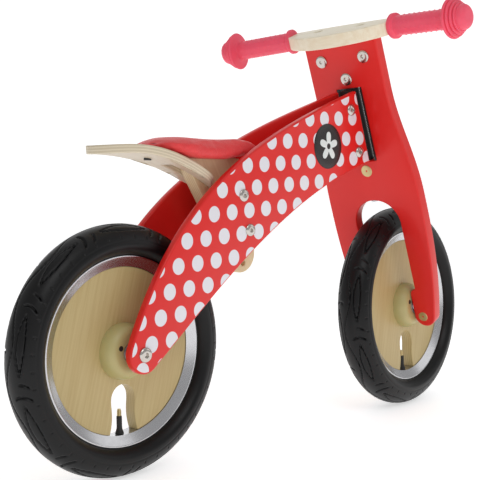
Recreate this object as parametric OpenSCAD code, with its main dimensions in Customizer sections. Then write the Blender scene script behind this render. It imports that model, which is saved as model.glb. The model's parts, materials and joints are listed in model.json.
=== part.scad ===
// Child's balance bike with plywood side panels, a plywood fork and pneumatic tyres.
// +X is the direction of travel, +Y is the rider's left and +Z is up.
// The origin lies on the ground, midway between the two axles.

/* [Bike] */
// Distance between the two axles
wheelbase = 529; // [500:1:560]
// Lean of the steering axis back from upright, in degrees
rake = 18.75; // [16:0.25:20]
// Turn of the handlebar to the left as drawn, in degrees
steer_rest = 7.3; // [0:0.1:10]

/* [Wheels] */
// Outer diameter of the tyre
tyre_d = 290; // [284:1:296]
// Width of the tyre
tyre_w = 51; // [46:1:52]
// Diameter over the rim flanges
rim_d = 218.4; // [216:0.2:220]
// Width over the rim flanges
rim_w = 30; // [29:0.5:31]
// Diameter of the plywood wheel disc
disc_d = 192; // [190:1:192]
// Thickness of the plywood wheel disc
disc_t = 17; // [15:1:18]
// Width of the valve opening in the disc
valve_gap_w = 34; // [30:1:38]
// Width over the two hub faces
hub_w = 53; // [50:1:54]
// Diameter of the hub where it meets the disc
hub_d = 65.4; // [60:0.2:70]
// Diameter of the axles
axle_d = 8; // [8:0.5:9]

/* [Frame] */
// Thickness of a side panel
panel_t = 10; // [10:1:13]
// Distance from the middle of the bike to a panel's outer face, at the rear axle
panel_off = 48.6; // [48:0.1:50]
// Inward slant of a side panel towards the head, in degrees
splay = 4; // [3.5:0.1:4.2]
// Diameter of the round badges
badge_d = 60; // [50:1:64]
// Width of the head block inside the fork slot
head_w = 19; // [17:1:20]

/* [Fork] */
// Thickness of the fork and handlebar boards
board_t = 18; // [17:1:20]
// Height of the fork top above the front axle, along the steering axis
fork_top = 399.2; // [395:0.2:405]
// Width of the slot that the head turns in
slot_w = 39; // [38:0.5:42]
// Clear width between the fork legs
leg_gap = 73; // [70:1:76]
// Diameter of the steering pin
steer_pin_d = 10; // [8:0.5:10]

/* [Handlebar] */
// Width over the two grip ends
bar_w = 404; // [390:2:410]
// Backward sweep of each grip, in degrees
bar_sweep = 7.2; // [5:0.1:9]
// Diameter of a grip's tube
grip_d = 26.4; // [25:0.2:28]
// Diameter of a grip's end flange
flange_d = 56; // [50:1:60]

/* [Seat] */
// Thickness of the seat post board
post_t = 18; // [16:1:18]
// Thickness of the bent tail board
tail_t = 10; // [8:1:11]
// Radius of the underside of the bent tail board
tail_bend_r = 265; // [250:5:280]
// Height of the top of the seat pad above the ground
pad_top = 388.5; // [386:0.5:392]

/* [Hidden] */
$fn = 96;
red = [0.85, 0.13, 0.1];
ply = [0.88, 0.77, 0.56];
cream = [0.87, 0.84, 0.62];
steel = [0.75, 0.76, 0.78];
brass = [0.78, 0.62, 0.3];
black = [0.09, 0.09, 0.1];
coral = [0.93, 0.33, 0.42];
// wheels
wheel_r = tyre_d / 2;
sec_r = tyre_w / 2;
ring_r = wheel_r - sec_r;
disc_r = disc_d / 2;
rim_r = rim_d / 2;
rim_wall = 1.4;
seat_r = 101.5;
tube_r = sec_r - 5.1;
tube_ring_r = ring_r + 1;
tube_wall = 1.3;
bead_half = rim_w / 2 - rim_wall - 0.2;
hub_half = hub_w / 2;
hub_r = hub_d / 2;
hub_face_r = 21;
hub_screw_r = 17;
hub_screw_turn = 38;
bearing_d = 22;
bearing_w = 7;
axle_r = axle_d / 2;
running_gap = 0.05;
side_gap = 0.3;
valve_r = 3.6;
valve_len = 20.5;
valve_top_r = 3;
valve_top_len = 8;
gap_top_r = 55;
gap_waist_r = 74;
// frame
rear_x = -wheelbase / 2;
front_x = wheelbase / 2;
head_bolts_at = [[393.3, 282.4], [412.2, 225.2]];
seat_bolts_at = [[168.9, 172], [180, 129.3]];
badge_at = [341.5, 232.8];
frame_bolt_r = 3;
frame_head_r = 7.6;
axle_head_r = 8.5;
cap_h = 3;
spot_depth = 0.6;
// fork, measured up the steering axis from the front axle
slot_low = 228;
slot_high = 334;
arch_top = 168;
panel_edge = 17;
panel_edge_round = 3;
washer_t = 1.6;
block_low = slot_low + washer_t + side_gap;
block_high = slot_high - washer_t - side_gap;
liner_t = 2.5;
fork_top_half = 57.5;
fork_wide_half = 75;
leg_end_r = 16;
leg_end_y = 43.5;
leg_end_z = -13;
boss_half = 27.7;
pin_r = steer_pin_d / 2;
cap_nut_z = 347.7;
cross_nut_z = 213;
bar_bolt_y = 34;
bar_nut_z = 376;
nut_cap_r = 8.6;
leg_nut_at = [41, -13.9];
axle_seat_y = 55.5;
// handlebar, in the same axes
bar_mid_z = fork_top + board_t / 2;
bar_mid_x = 15.6;
grip_start = 81;
grip_end = bar_w / 2 / cos(bar_sweep);
tenon_r = board_t / 2;
tenon_end = 172;
// seat, as distances forward of the rear axle and heights above the ground
tail_low = 368.3;
tail_crest_x = -5;
base_t = 5;
base_z0 = 379.3;
base_tilt = 5.1;
pad_rear_x = 84;
pad_rear_r = 46.5;
pad_front_x = 211;
pad_front_r = 17.5;
seat_screw_x = 51;
base_front_x = 172;
base_front_r = 14;
pad_lip = 9;
lobe_at = [191, 243.5];
lobe_r = 24;
spare_hole_at = [194.5, 232];
spare_hole_r = 4;

// ---------- helpers ----------

// A round bar lying along Y between two distances from the middle
module bar_y(r, from, to) {
    translate([0, to, 0])
        rotate([90, 0, 0])
            cylinder(r = r, h = to - from);
}

// Draws on both sides of the bike
module both_sides() {
    children();
    mirror([0, 1, 0])
        children();
}

// Puts a rear-wheel piece in its place
module at_rear() {
    translate([rear_x, 0, wheel_r])
        children();
}

// Axes with Z up the steering axis and X forward, from the front axle, steering straight
module at_head() {
    translate([front_x, 0, wheel_r])
        rotate([0, -rake, 0])
            children();
}

// The same axes turned with the handlebar
module at_fork() {
    at_head()
        rotate([0, 0, steer_rest])
            children();
}

// Puts a front-wheel piece in its place, with its valve hanging straight down
module at_front() {
    at_fork()
        rotate([0, rake, 0])
            children();
}

// A ring turned about the wheel's own axis from a section drawn as [radius, width]
module turned() {
    rotate([90, 0, 0])
        rotate_extrude($fn = 180)
            children();
}

// A point on a cubic curve with end points a, d and handles b, c
function curve_at(a, b, c, d, t) =
    pow(1 - t, 3) * a + 3 * pow(1 - t, 2) * t * b + 3 * (1 - t) * t * t * c + pow(t, 3) * d;
function curve(a, b, c, d, n) = [for (i = [0 : n]) curve_at(a, b, c, d, i / n)];
function arc(c, r, from, to, n) =
    [for (i = [0 : n]) c + r * [cos(from + (to - from) * i / n), sin(from + (to - from) * i / n)]];
function flipped(points) = [for (i = [len(points) - 1 : -1 : 0]) [-points[i][0], points[i][1]]];
function panel_face(x) = panel_off - tan(splay) * x;
function panel_back(x) = panel_face(x) - panel_t / cos(splay);

// A domed cap head with a hex socket, its face at z = 0 and its top at z = h
module cap_head(r, h, socket_r) {
    difference() {
        union() {
            cylinder(r = r, h = h * 0.45);
            translate([0, 0, h * 0.45])
                cylinder(r1 = r, r2 = r * 0.72, h = h * 0.55);
        }
        translate([0, 0, h * 0.4])
            cylinder(r = socket_r, h = h, $fn = 6);
    }
}

// ---------- wheels ----------

module tyre() {
    color(black)
        turned()
            difference() {
                union() {
                    translate([ring_r, 0])
                        circle(r = sec_r);
                    translate([seat_r + 0.1, -bead_half])
                        square([10, 2 * bead_half]);
                }
                tube_area(0);
                translate([seat_r - 12, -8])
                    square([14, 16]);
                translate([seat_r - 12, -sec_r])
                    square([12.1, 2 * sec_r]);
                for (side = [-1, 1])
                    polygon([
                        [seat_r - 1, side * bead_half],
                        [rim_r + 0.2, side * bead_half],
                        [rim_r + 0.2, side * (rim_w / 2 + 0.6)],
                        [rim_r + 5.2, side * sec_r],
                        [seat_r - 1, side * sec_r]
                    ]);
            }
}

// Section of the space inside the tyre, narrower between its beads, drawn in by a margin
module tube_area(margin) {
    side = [
        [seat_r + 1 + margin, 8 - margin], [rim_r + 0.3, 10.6 - margin],
        [ring_r - 5.5, 17.5 - margin], [ring_r - 1.5, tube_r], [wheel_r, tube_r]
    ];
    intersection() {
        translate([tube_ring_r, 0])
            circle(r = tube_r - margin);
        polygon(concat(side, [for (i = [4 : -1 : 0]) [side[i][0], -side[i][1]]]));
    }
}

module inner_tube() {
    color(black)
        turned()
            difference() {
                tube_area(0);
                tube_area(tube_wall);
            }
}

module valve() {
    top = disc_r - valve_len;
    color(black)
        rotate([0, 180, 0])
            translate([0, 0, top])
                cylinder(r = valve_r, h = seat_r + 1 - top);
    color(brass)
        rotate([0, 180, 0])
            translate([0, 0, top - valve_top_len])
                cylinder(r = valve_top_r, h = valve_top_len);
}

// Section of the steel rim: two flanges, two bead seats and a well between them
module rim_section() {
    half = [
        [rim_r, rim_w / 2], [seat_r - 0.5, rim_w / 2 - 0.2], [seat_r - 1.8, rim_w / 2 - 1.6],
        [seat_r - 2, disc_t / 2 + 2], [disc_r, disc_t / 2]
    ];
    inner = [
        [disc_r + rim_wall, disc_t / 2 - 1], [seat_r, disc_t / 2 + 1], [seat_r, bead_half + 0.2],
        [rim_r, bead_half + 0.2]
    ];
    section = concat(half, [for (i = [4 : -1 : 0]) [half[i][0], -half[i][1]]],
        [for (i = [3 : -1 : 0]) [inner[i][0], -inner[i][1]]], inner);
    polygon(section);
}

module rim() {
    color(steel)
        difference() {
            turned()
                rim_section();
            rotate([0, 180, 0])
                cylinder(r = valve_r, h = rim_r);
        }
}

// The keyhole opening in the disc that gives room for the valve and the pump
module valve_opening() {
    half_w = valve_gap_w / 2;
    side = curve([half_w, -gap_top_r], [half_w + 0.5, -64], [half_w - 3.5, -gap_waist_r],
        [half_w + 3, -disc_r - 1], 10);
    rotate([90, 0, 0])
        linear_extrude(height = disc_t + 2, center = true) {
            translate([0, -gap_top_r])
                circle(r = half_w);
            polygon(concat(side, flipped(side)));
        }
}

module disc() {
    color(ply)
        difference() {
            bar_y(disc_r, -disc_t / 2, disc_t / 2);
            bar_y(bearing_d / 2 - 2, -disc_t, disc_t);
            valve_opening();
            hub_screw_places()
                bar_y(1.5, 2, disc_t);
        }
}

module hub_screw_places() {
    both_sides()
        for (k = [0 : 2])
            rotate([0, -hub_screw_turn - 120 * k, 0])
                translate([hub_screw_r, 0, 0])
                    children();
}

module hub() {
    dome = [for (i = [0 : 14]) let (a = 90 * i / 14)
        [hub_face_r + (hub_r - hub_face_r) * cos(a), disc_t / 2 + (hub_half - disc_t / 2) * sin(a)]];
    color(cream)
        difference() {
            both_sides()
                rotate([-90, 0, 0])
                    rotate_extrude()
                        polygon(concat([[bearing_d / 2 - 2, disc_t / 2]], dome,
                            [[bearing_d / 2 - 2, hub_half]]));
            both_sides()
                bar_y(bearing_d / 2, hub_half + side_gap - bearing_w, hub_half + 1);
            hub_screw_places()
                bar_y(3, 13, hub_half + 1);
            hub_screw_places()
                bar_y(1.5, 2, 14);
        }
}

module hub_bearings() {
    color(steel)
        both_sides()
            difference() {
                bar_y(bearing_d / 2, hub_half + side_gap - bearing_w, hub_half + side_gap);
                bar_y(axle_r + running_gap, 0, hub_half + 1);
            }
}

module hub_sleeve() {
    color(steel)
        difference() {
            bar_y(7, bearing_w - hub_half - side_gap, hub_half + side_gap - bearing_w);
            bar_y(axle_r + side_gap, -hub_half, hub_half);
        }
}

module hub_screws() {
    color(steel)
        hub_screw_places() {
            bar_y(1.5, 3, 13.1);
            bar_y(3, 13, 15);
        }
}

// ---------- frame ----------

// Draws in a side panel's own plane: X from the rear axle towards the head, Y up,
// and Z out of the panel's outer face
module in_panel() {
    translate([rear_x, -panel_off, wheel_r])
        rotate([90, 0, splay])
            children();
}

// Places a piece at a distance x forward of the rear axle and z above it
module at_bolt(p) {
    translate([rear_x + p[0], 0, wheel_r + p[1]])
        children();
}

module panel_outline() {
    lower_end = [462, 216.5];
    upper_end = [424, 314];
    upper = curve([-18, 12], [62, 184], [188, 240], upper_end, 24);
    lower = curve([16, -17.5], [116, 54], [262, 178], lower_end, 24);
    polygon(concat(upper, [for (i = [24 : -1 : 0]) lower[i]]));
    translate([1.5, 1])
        circle(r = 22.3);
}

// The side panel of the right-hand side; the left one is its mirror image
module panel() {
    axle_seat = panel_face(0) - spot_depth;
    color(red)
        difference() {
            in_panel()
                translate([0, 0, -panel_t])
                    linear_extrude(height = panel_t)
                        panel_outline();
            at_head()
                translate([-panel_edge, -100, 0])
                    cube([200, 200, 500]);
            at_head()
                panel_edge_cut();
            at_rear()
                bar_y(axle_r, -100, 0);
            at_rear()
                bar_y(axle_head_r + 0.4, -100, -axle_seat);
            for (p = concat(head_bolts_at, seat_bolts_at)) {
                at_bolt(p)
                    bar_y(frame_bolt_r, -100, 0);
                at_bolt(p)
                    bar_y(frame_head_r + 0.4, -100, spot_depth - panel_face(p[0]));
            }
        }
}

// Takes the sharp outer corner off the panel's front edge
module panel_edge_cut() {
    face = panel_face(cos(splay) * 445);
    translate([-panel_edge - panel_edge_round, -face - panel_edge_round, 100])
        linear_extrude(height = 400)
            difference() {
                translate([0, -2 * panel_edge_round])
                    square([4 * panel_edge_round, 4 * panel_edge_round]);
                translate([0, 2 * panel_edge_round])
                    circle(r = panel_edge_round);
                translate([-1, 2 * panel_edge_round])
                    square([10 * panel_edge_round, 10 * panel_edge_round]);
            }
}

module panel_right() {
    panel();
}

module panel_left() {
    mirror([0, 1, 0])
        panel();
}

module badges() {
    both_sides()
        in_panel()
            translate(badge_at) {
                color(black)
                    cylinder(r = badge_d / 2, h = 0.8);
                color("white")
                    cylinder(r = badge_d / 2 - 6, h = 1);
            }
}

// The block glued between the two panels, with a thicker nose that the fork turns on
module head_block() {
    color(black)
        difference() {
            union() {
                at_head()
                    translate([0, 0, block_low])
                        cylinder(r = head_w / 2, h = block_high - block_low);
                at_head()
                    translate([-panel_edge, -head_w / 2, block_low])
                        cube([panel_edge, head_w, block_high - block_low]);
                intersection() {
                    at_head()
                        translate([-85, -50, block_low + 2])
                            cube([85 - panel_edge, 100, block_high - block_low - 14]);
                    block_wedge();
                }
            }
            at_head()
                cylinder(r = pin_r + 2, h = fork_top);
            for (p = head_bolts_at)
                at_bolt(p)
                    bar_y(frame_bolt_r, -50, 50);
        }
}

// The space between the inner faces of the two panels
module block_wedge() {
    x0 = 330;
    x1 = 470;
    translate([rear_x, 0, 0])
        linear_extrude(height = 600)
            polygon([
                [x0, -panel_back(x0)], [x1, -panel_back(x1)],
                [x1, panel_back(x1)], [x0, panel_back(x0)]
            ]);
}

module head_bushes() {
    bush_len = 22;
    color(steel)
        at_head()
            for (z = [block_low, block_high - bush_len])
                translate([0, 0, z])
                    difference() {
                        cylinder(r = pin_r + 2, h = bush_len);
                        translate([0, 0, -1])
                            cylinder(r = pin_r + running_gap, h = bush_len + 2);
                    }
}

// A bolt across the frame with a domed cap on each side
module frame_bolt(p, r, head_r) {
    seat = panel_face(p[0]) - spot_depth;
    at_bolt(p) {
        bar_y(r, -seat, seat);
        both_sides()
            translate([0, -seat, 0])
                rotate([90, 0, 0])
                    cap_head(head_r, cap_h, r * 0.75);
    }
}

module head_bolts() {
    color(steel)
        for (p = head_bolts_at)
            frame_bolt(p, frame_bolt_r, frame_head_r);
}

module seat_bolts() {
    color(steel)
        for (p = seat_bolts_at)
            frame_bolt(p, frame_bolt_r, frame_head_r);
}

module seat_spacers() {
    color(ply)
        for (p = seat_bolts_at)
            at_bolt(p)
                both_sides()
                    difference() {
                        bar_y(9, post_t / 2, panel_back(p[0] + 9));
                        bar_y(frame_bolt_r, 0, 50);
                    }
}

module rear_axle() {
    seat = panel_off - spot_depth;
    color(steel)
        at_rear() {
            bar_y(axle_r, -seat, seat);
            translate([0, -seat, 0])
                rotate([90, 0, 0])
                    cap_head(axle_head_r, cap_h + 0.6, 2.9);
        }
}

module rear_axle_nut() {
    seat = panel_off - spot_depth;
    color(steel)
        at_rear()
            translate([0, seat, 0])
                rotate([-90, 0, 0])
                    cap_head(axle_head_r, cap_h + 0.6, 2.9);
}

module rear_axle_spacers() {
    color(steel)
        at_rear()
            both_sides()
                difference() {
                    bar_y(7, hub_half + 2 * side_gap, panel_back(7));
                    bar_y(axle_r, 0, 50);
                }
}

// ---------- seat ----------

// Draws a flat shape in the bike's middle plane, X forward of the rear axle and Y up
module upright(thickness) {
    translate([rear_x, 0, 0])
        rotate([90, 0, 0])
            linear_extrude(height = thickness, center = true)
                children();
}

function base_under(x) = base_z0 - tan(base_tilt) * x;

module seat_post() {
    rear_top = 93;
    front_top = 190;
    color(ply)
        difference() {
            upright(post_t) {
                polygon([
                    [rear_top, base_under(rear_top)], [front_top, base_under(front_top)],
                    lobe_at + [lobe_r * cos(12), lobe_r * sin(12)], lobe_at,
                    lobe_at - [lobe_r * cos(20), -lobe_r * sin(20)]
                ]);
                translate(lobe_at)
                    circle(r = lobe_r);
            }
            upright(post_t + 2)
                translate(spare_hole_at)
                    circle(r = spare_hole_r);
            for (p = seat_bolts_at)
                at_bolt(p)
                    bar_y(frame_bolt_r, -50, 50);
        }
}

// A round-ended outline around two circles on the X axis
module tapered_outline(x1, r1, x2, r2) {
    turn = 90 - asin((r1 - r2) / (x2 - x1));
    polygon(concat(arc([x2, 0], r2, -turn, turn, 24), arc([x1, 0], r1, turn, 360 - turn, 32)));
}

module tail_board() {
    bend_z = tail_low - tail_bend_r;
    color(ply)
        difference() {
            intersection() {
                translate([rear_x, 0, 300])
                    linear_extrude(height = 120)
                        tapered_outline(12, 40, 113, 27);
                translate([rear_x + tail_crest_x, 0, bend_z])
                    difference() {
                        bar_y(tail_bend_r + tail_t, -60, 60);
                        bar_y(tail_bend_r, -70, 70);
                    }
            }
            translate([rear_x + 80, -post_t / 2, 300])
                cube([90, post_t, 120]);
            seat_screw_places()
                cylinder(r = 2, h = 60, center = true);
            seat_screw_places()
                translate([0, 0, -20])
                    cylinder(r = 5, h = 8.8);
        }
}

// Axes on the underside of the sloping seat base, over the rear axle
module on_base() {
    translate([rear_x, 0, base_z0])
        rotate([0, base_tilt, 0])
            children();
}

module base_outline() {
    tapered_outline(pad_rear_x, pad_rear_r - pad_lip, base_front_x, base_front_r);
}

module seat_base() {
    color(black)
        difference() {
            on_base()
                linear_extrude(height = base_t)
                    base_outline();
            seat_screw_places()
                cylinder(r = 2, h = 60, center = true);
        }
}

module seat_screw_places() {
    on_base()
        translate([seat_screw_x, 0, 0])
            children();
}

module seat_screws() {
    color(steel)
        seat_screw_places() {
            translate([0, 0, -12])
                cylinder(r = 2, h = 12 + base_t);
            translate([0, 0, -14.2])
                cylinder(r = 4.5, h = 3);
        }
}

module seat_pad() {
    rear = pad_rear_x - pad_rear_r;
    front = pad_front_x + pad_front_r;
    color(coral)
        difference() {
            intersection() {
                translate([rear_x, 0, 300])
                    linear_extrude(height = 120)
                        tapered_outline(pad_rear_x, pad_rear_r, pad_front_x, pad_front_r);
                upright(120)
                    polygon([
                        [rear - 1, base_under(rear) + 1], [front + 1, base_under(front) + 6],
                        [front + 1, pad_top - 7], [front - 18, pad_top], [rear + 14, pad_top],
                        [rear - 1, pad_top - 7]
                    ]);
            }
            on_base()
                translate([0, 0, -20])
                    linear_extrude(height = 20 + base_t)
                        base_outline();
        }
}

// ---------- fork ----------

// Right half of the fork's outline, as [sideways, up the steering axis]
function fork_side() = concat(
    [[fork_top_half, fork_top]],
    curve([fork_top_half, 326], [fork_top_half + 0.5, 268], [fork_wide_half, 232],
        [fork_wide_half, 168], 12),
    curve([fork_wide_half + 0.5, 120], [fork_wide_half + 0.5, 60], [67.5, 30],
        [leg_end_y + leg_end_r * cos(-8), leg_end_z - leg_end_r * sin(8)], 12),
    arc([leg_end_y, leg_end_z], leg_end_r, -12, -172, 14),
    [[boss_half, 18]],
    arc([boss_half + 8.5, 20], 8.5, 176, 100, 3),
    [[leg_gap / 2, 38]]);

module fork_outline() {
    side = fork_side();
    arch_r = leg_gap / 2;
    difference() {
        polygon(concat(side, [[leg_gap / 2, arch_top]], flipped(side),
            [[-fork_top_half, fork_top]]));
        translate([0, arch_top - arch_r])
            circle(r = arch_r);
        translate([-arch_r, 37])
            square([2 * arch_r, arch_top - arch_r - 37]);
        translate([-slot_w / 2, slot_low])
            square([slot_w, slot_high - slot_low]);
    }
}

// Stands a flat shape up across the fork, drawn as [sideways, up the steering axis]
module across(from, to) {
    translate([from, 0, 0])
        rotate([90, 0, 90])
            linear_extrude(height = to - from)
                children();
}

// A round bar along the fork's fore-aft axis
module bar_x(r, from, to) {
    translate([from, 0, 0])
        rotate([0, 90, 0])
            cylinder(r = r, h = to - from);
}

module cap_nut_places() {
    for (y = [-bar_bolt_y, bar_bolt_y])
        translate([0, y, bar_nut_z])
            children();
}

module fork_board() {
    half = board_t / 2;
    color(red)
        at_fork()
            difference() {
                across(-half, half)
                    fork_outline();
                translate([0, 0, arch_top - 30])
                    cylinder(r = pin_r, h = cap_nut_z - arch_top + 40);
                translate([0, 0, arch_top - 30])
                    cylinder(r = pin_r + 2.2, h = 40);
                translate([0, 0, cap_nut_z])
                    bar_x(7, -half - 1, 6);
                translate([0, 0, cross_nut_z])
                    bar_x(8.5, -half - 1, 6);
                cap_nut_places() {
                    bar_x(7, -half - 1, 6);
                    cylinder(r = 4, h = 50);
                    translate([0, 0, -12])
                        cylinder(r = 4, h = 13);
                }
                both_sides() {
                    bar_y(axle_r, 0, 100);
                    bar_y(6.5, axle_seat_y, 100);
                    translate([0, leg_nut_at[0], leg_nut_at[1]])
                        bar_x(7, -half - 1, 5);
                    translate([0, leg_nut_at[0], -40])
                        cylinder(r = 3, h = 40 - axle_r);
                }
            }
}

// Rubber strips down the two sides of the slot, which the head stops against
module slot_liners() {
    color(black)
        at_fork()
            both_sides()
                translate([-board_t / 2, slot_w / 2 - liner_t, slot_low])
                    cube([board_t, liner_t, slot_high - slot_low]);
}

module steering_pin() {
    color(steel)
        at_fork() {
            translate([0, 0, arch_top + 4])
                cylinder(r = pin_r, h = cap_nut_z + 10 - arch_top - 4);
            difference() {
                translate([0, 0, arch_top - 2])
                    cylinder(r = pin_r + 2.2, h = 10);
                translate([0, 0, arch_top - 3])
                    cylinder(r = 3.4, h = 6, $fn = 6);
            }
        }
}

// A barrel nut let into the fork's rear face, with a domed cap over it
module capped_nut(body_r) {
    half = board_t / 2;
    bar_x(body_r, -half, 6);
    translate([-half, 0, 0])
        rotate([0, -90, 0])
            cap_head(nut_cap_r, 2.2, 3);
}

module steering_cap_nut() {
    color(steel)
        at_fork()
            difference() {
                translate([0, 0, cap_nut_z])
                    capped_nut(7);
                cylinder(r = pin_r, h = cap_nut_z + 10);
            }
}

module steering_cross_nut() {
    color(brass)
        at_fork()
            difference() {
                translate([0, 0, cross_nut_z])
                    bar_x(8.5, -board_t / 2, 6);
                cylinder(r = pin_r, h = fork_top);
                translate([-board_t / 2 - 1, -0.8, cross_nut_z - 7])
                    cube([2.5, 1.6, 14]);
            }
}

module thrust_washers() {
    color(black)
        at_fork()
            for (z = [slot_low, slot_high - washer_t])
                translate([0, 0, z])
                    difference() {
                        cylinder(r = head_w / 2, h = washer_t);
                        translate([0, 0, -1])
                            cylinder(r = pin_r, h = washer_t + 2);
                    }
}

module front_axle() {
    color(steel)
        at_fork() {
            bar_y(axle_r, -axle_seat_y, axle_seat_y);
            translate([0, -axle_seat_y, 0])
                rotate([90, 0, 0])
                    cap_head(6, 4, 2.6);
        }
}

module front_axle_nut() {
    color(steel)
        at_fork()
            translate([0, axle_seat_y, 0])
                rotate([-90, 0, 0])
                    cap_head(6, 4, 2.6);
}

module front_axle_spacers() {
    color(steel)
        at_fork()
            both_sides()
                difference() {
                    bar_y(6.5, hub_half + 2 * side_gap, boss_half - 0.1);
                    bar_y(axle_r, 0, 50);
                }
}

module leg_nuts() {
    color(brass)
        at_fork()
            both_sides()
                translate([0, leg_nut_at[0], leg_nut_at[1]])
                    difference() {
                        bar_x(7, -board_t / 2, 5);
                        translate([0, 0, -20])
                            cylinder(r = 3, h = 40);
                        translate([-board_t / 2 - 1, -0.7, -6])
                            cube([2.5, 1.4, 12]);
                    }
}

module leg_screws() {
    color(steel)
        at_fork()
            both_sides()
                translate([0, leg_nut_at[0], leg_end_z - 12])
                    cylinder(r = 3, h = 12 - leg_end_z - axle_r);
}

// ---------- handlebar ----------

// Runs an axis out along one grip from the middle of the bar; side is 1 on the left
module along_grip(side) {
    at_fork()
        translate([bar_mid_x, 0, bar_mid_z])
            rotate([0, 0, side * bar_sweep])
                rotate([-90 * side, 0, 0])
                    children();
}

module handlebar() {
    half_end = grip_start * cos(bar_sweep) + 4;
    rear = curve([-12, half_end], [-56, 36], [-56, -36], [-12, -half_end], 20);
    front = curve([24, -half_end], [26, -30], [26, 30], [24, half_end], 10);
    color(ply)
        difference() {
            union() {
                difference() {
                    at_fork()
                        translate([0, 0, fork_top])
                            linear_extrude(height = board_t)
                                polygon(concat(rear, front));
                    for (side = [-1, 1])
                        along_grip(side)
                            translate([0, 0, grip_start])
                                cylinder(r = 60, h = 60);
                }
                for (side = [-1, 1])
                    along_grip(side)
                        translate([0, 0, grip_start - 20])
                            cylinder(r = tenon_r, h = tenon_end - grip_start + 20);
            }
            at_fork()
                for (y = [-bar_bolt_y, bar_bolt_y])
                    translate([0, y, 0]) {
                        cylinder(r = 4, h = 500);
                        translate([0, 0, fork_top + 10])
                            cylinder(r = 6, h = 20);
                    }
        }
}

module bar_bolts() {
    color(steel)
        at_fork()
            for (y = [-bar_bolt_y, bar_bolt_y])
                translate([0, y, 0])
                    difference() {
                        union() {
                            translate([0, 0, bar_nut_z - 10])
                                cylinder(r = 4, h = fork_top + 11 - bar_nut_z + 10);
                            translate([0, 0, fork_top + 10])
                                cylinder(r = 5.8, h = 6);
                        }
                        translate([0, 0, fork_top + 12])
                            cylinder(r = 3, h = 20, $fn = 6);
                    }
}

module bar_cap_nuts() {
    color(steel)
        at_fork()
            difference() {
                cap_nut_places()
                    capped_nut(7);
                for (y = [-bar_bolt_y, bar_bolt_y])
                    translate([0, y, 0])
                        cylinder(r = 4, h = fork_top);
            }
}

// Section of a grip as [radius, distance along it]: collar, tube, flange, rings and cap
module grip_section() {
    g = grip_d / 2;
    f = flange_d / 2;
    e = grip_end;
    cap = [for (a = [0 : 15 : 90]) [15 * cos(a), e - 11 + 11 * sin(a)]];
    polygon(concat(
        [[0, grip_start], [g + 2.6, grip_start], [g + 4, grip_start + 1.5],
         [g + 4, grip_start + 5.5], [g + 2.6, grip_start + 7], [g, grip_start + 8],
         [g, e - 35], [f - 3, e - 33], [f, e - 31], [f, e - 28.5], [f - 3.5, e - 26.5],
         [24, e - 24], [22, e - 20.5], [20.5, e - 19], [19.5, e - 15.5], [17, e - 14.5],
         [16.5, e - 12]],
        cap));
}

module grip() {
    color(coral)
        difference() {
            rotate_extrude()
                grip_section();
            translate([0, 0, grip_start - 1])
                cylinder(r = tenon_r, h = tenon_end - grip_start + 1);
        }
}

module grip_left() {
    along_grip(1)
        grip();
}

module grip_right() {
    along_grip(-1)
        grip();
}

// ---------- nodes ----------

at_rear() tyre();  // rear_tyre
at_rear() inner_tube();  // rear_inner_tube
at_rear() valve();  // rear_valve
at_rear() rim();  // rear_rim
at_rear() disc();  // rear_disc
at_rear() hub();  // rear_hub
at_rear() hub_bearings();  // rear_hub_bearings
at_rear() hub_sleeve();  // rear_hub_sleeve
at_rear() hub_screws();  // rear_hub_screws
at_front() tyre();  // front_tyre
at_front() inner_tube();  // front_inner_tube
at_front() valve();  // front_valve
at_front() rim();  // front_rim
at_front() disc();  // front_disc
at_front() hub();  // front_hub
at_front() hub_bearings();  // front_hub_bearings
at_front() hub_sleeve();  // front_hub_sleeve
at_front() hub_screws();  // front_hub_screws
panel_right();
panel_left();
badges();
head_block();
head_bushes();
head_bolts();
rear_axle();
rear_axle_nut();
rear_axle_spacers();
seat_bolts();
seat_spacers();
seat_post();
tail_board();
seat_base();
seat_pad();
seat_screws();
fork_board();
slot_liners();
steering_pin();
steering_cap_nut();
steering_cross_nut();
thrust_washers();
front_axle();
front_axle_nut();
front_axle_spacers();
leg_nuts();
leg_screws();
handlebar();
bar_bolts();
bar_cap_nuts();
grip_left();
grip_right();
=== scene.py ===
"""Looks of a child's wooden balance bike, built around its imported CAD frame.

Shapes are worked out in millimetres, in the axes of the board, wheel or bar that they
belong to, and Axes.place() puts them into the frame in metres.
"""

import json
import logging
import math
from dataclasses import dataclass, replace
from enum import Enum
from typing import Callable, Optional, Sequence

import bmesh
import bpy
import numpy as np
from mathutils import Matrix, Vector
from mathutils.geometry import delaunay_2d_cdt


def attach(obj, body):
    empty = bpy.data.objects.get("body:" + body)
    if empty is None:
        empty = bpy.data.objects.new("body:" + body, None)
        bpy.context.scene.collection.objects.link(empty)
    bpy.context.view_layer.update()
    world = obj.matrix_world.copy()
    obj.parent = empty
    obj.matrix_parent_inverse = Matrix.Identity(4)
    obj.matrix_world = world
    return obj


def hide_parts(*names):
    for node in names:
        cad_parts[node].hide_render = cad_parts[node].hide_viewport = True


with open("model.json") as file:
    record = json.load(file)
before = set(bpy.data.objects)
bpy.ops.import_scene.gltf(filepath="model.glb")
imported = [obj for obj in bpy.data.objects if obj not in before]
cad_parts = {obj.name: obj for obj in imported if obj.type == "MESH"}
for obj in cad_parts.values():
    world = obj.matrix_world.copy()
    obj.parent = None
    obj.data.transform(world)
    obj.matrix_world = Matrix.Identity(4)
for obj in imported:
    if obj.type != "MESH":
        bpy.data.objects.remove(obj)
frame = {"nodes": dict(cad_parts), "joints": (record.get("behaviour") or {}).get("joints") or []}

LOG = logging.getLogger("balance_bike")
MM = 0.001
TURN = 2 * math.pi
Array = np.ndarray
Colour = tuple[float, float, float]
Piece = bpy.types.Object
Socket = bpy.types.NodeSocket
Swell = Callable[[Array, Array, Array], Array]


# ---------------------------------------------------------------- axes and curves


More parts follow.
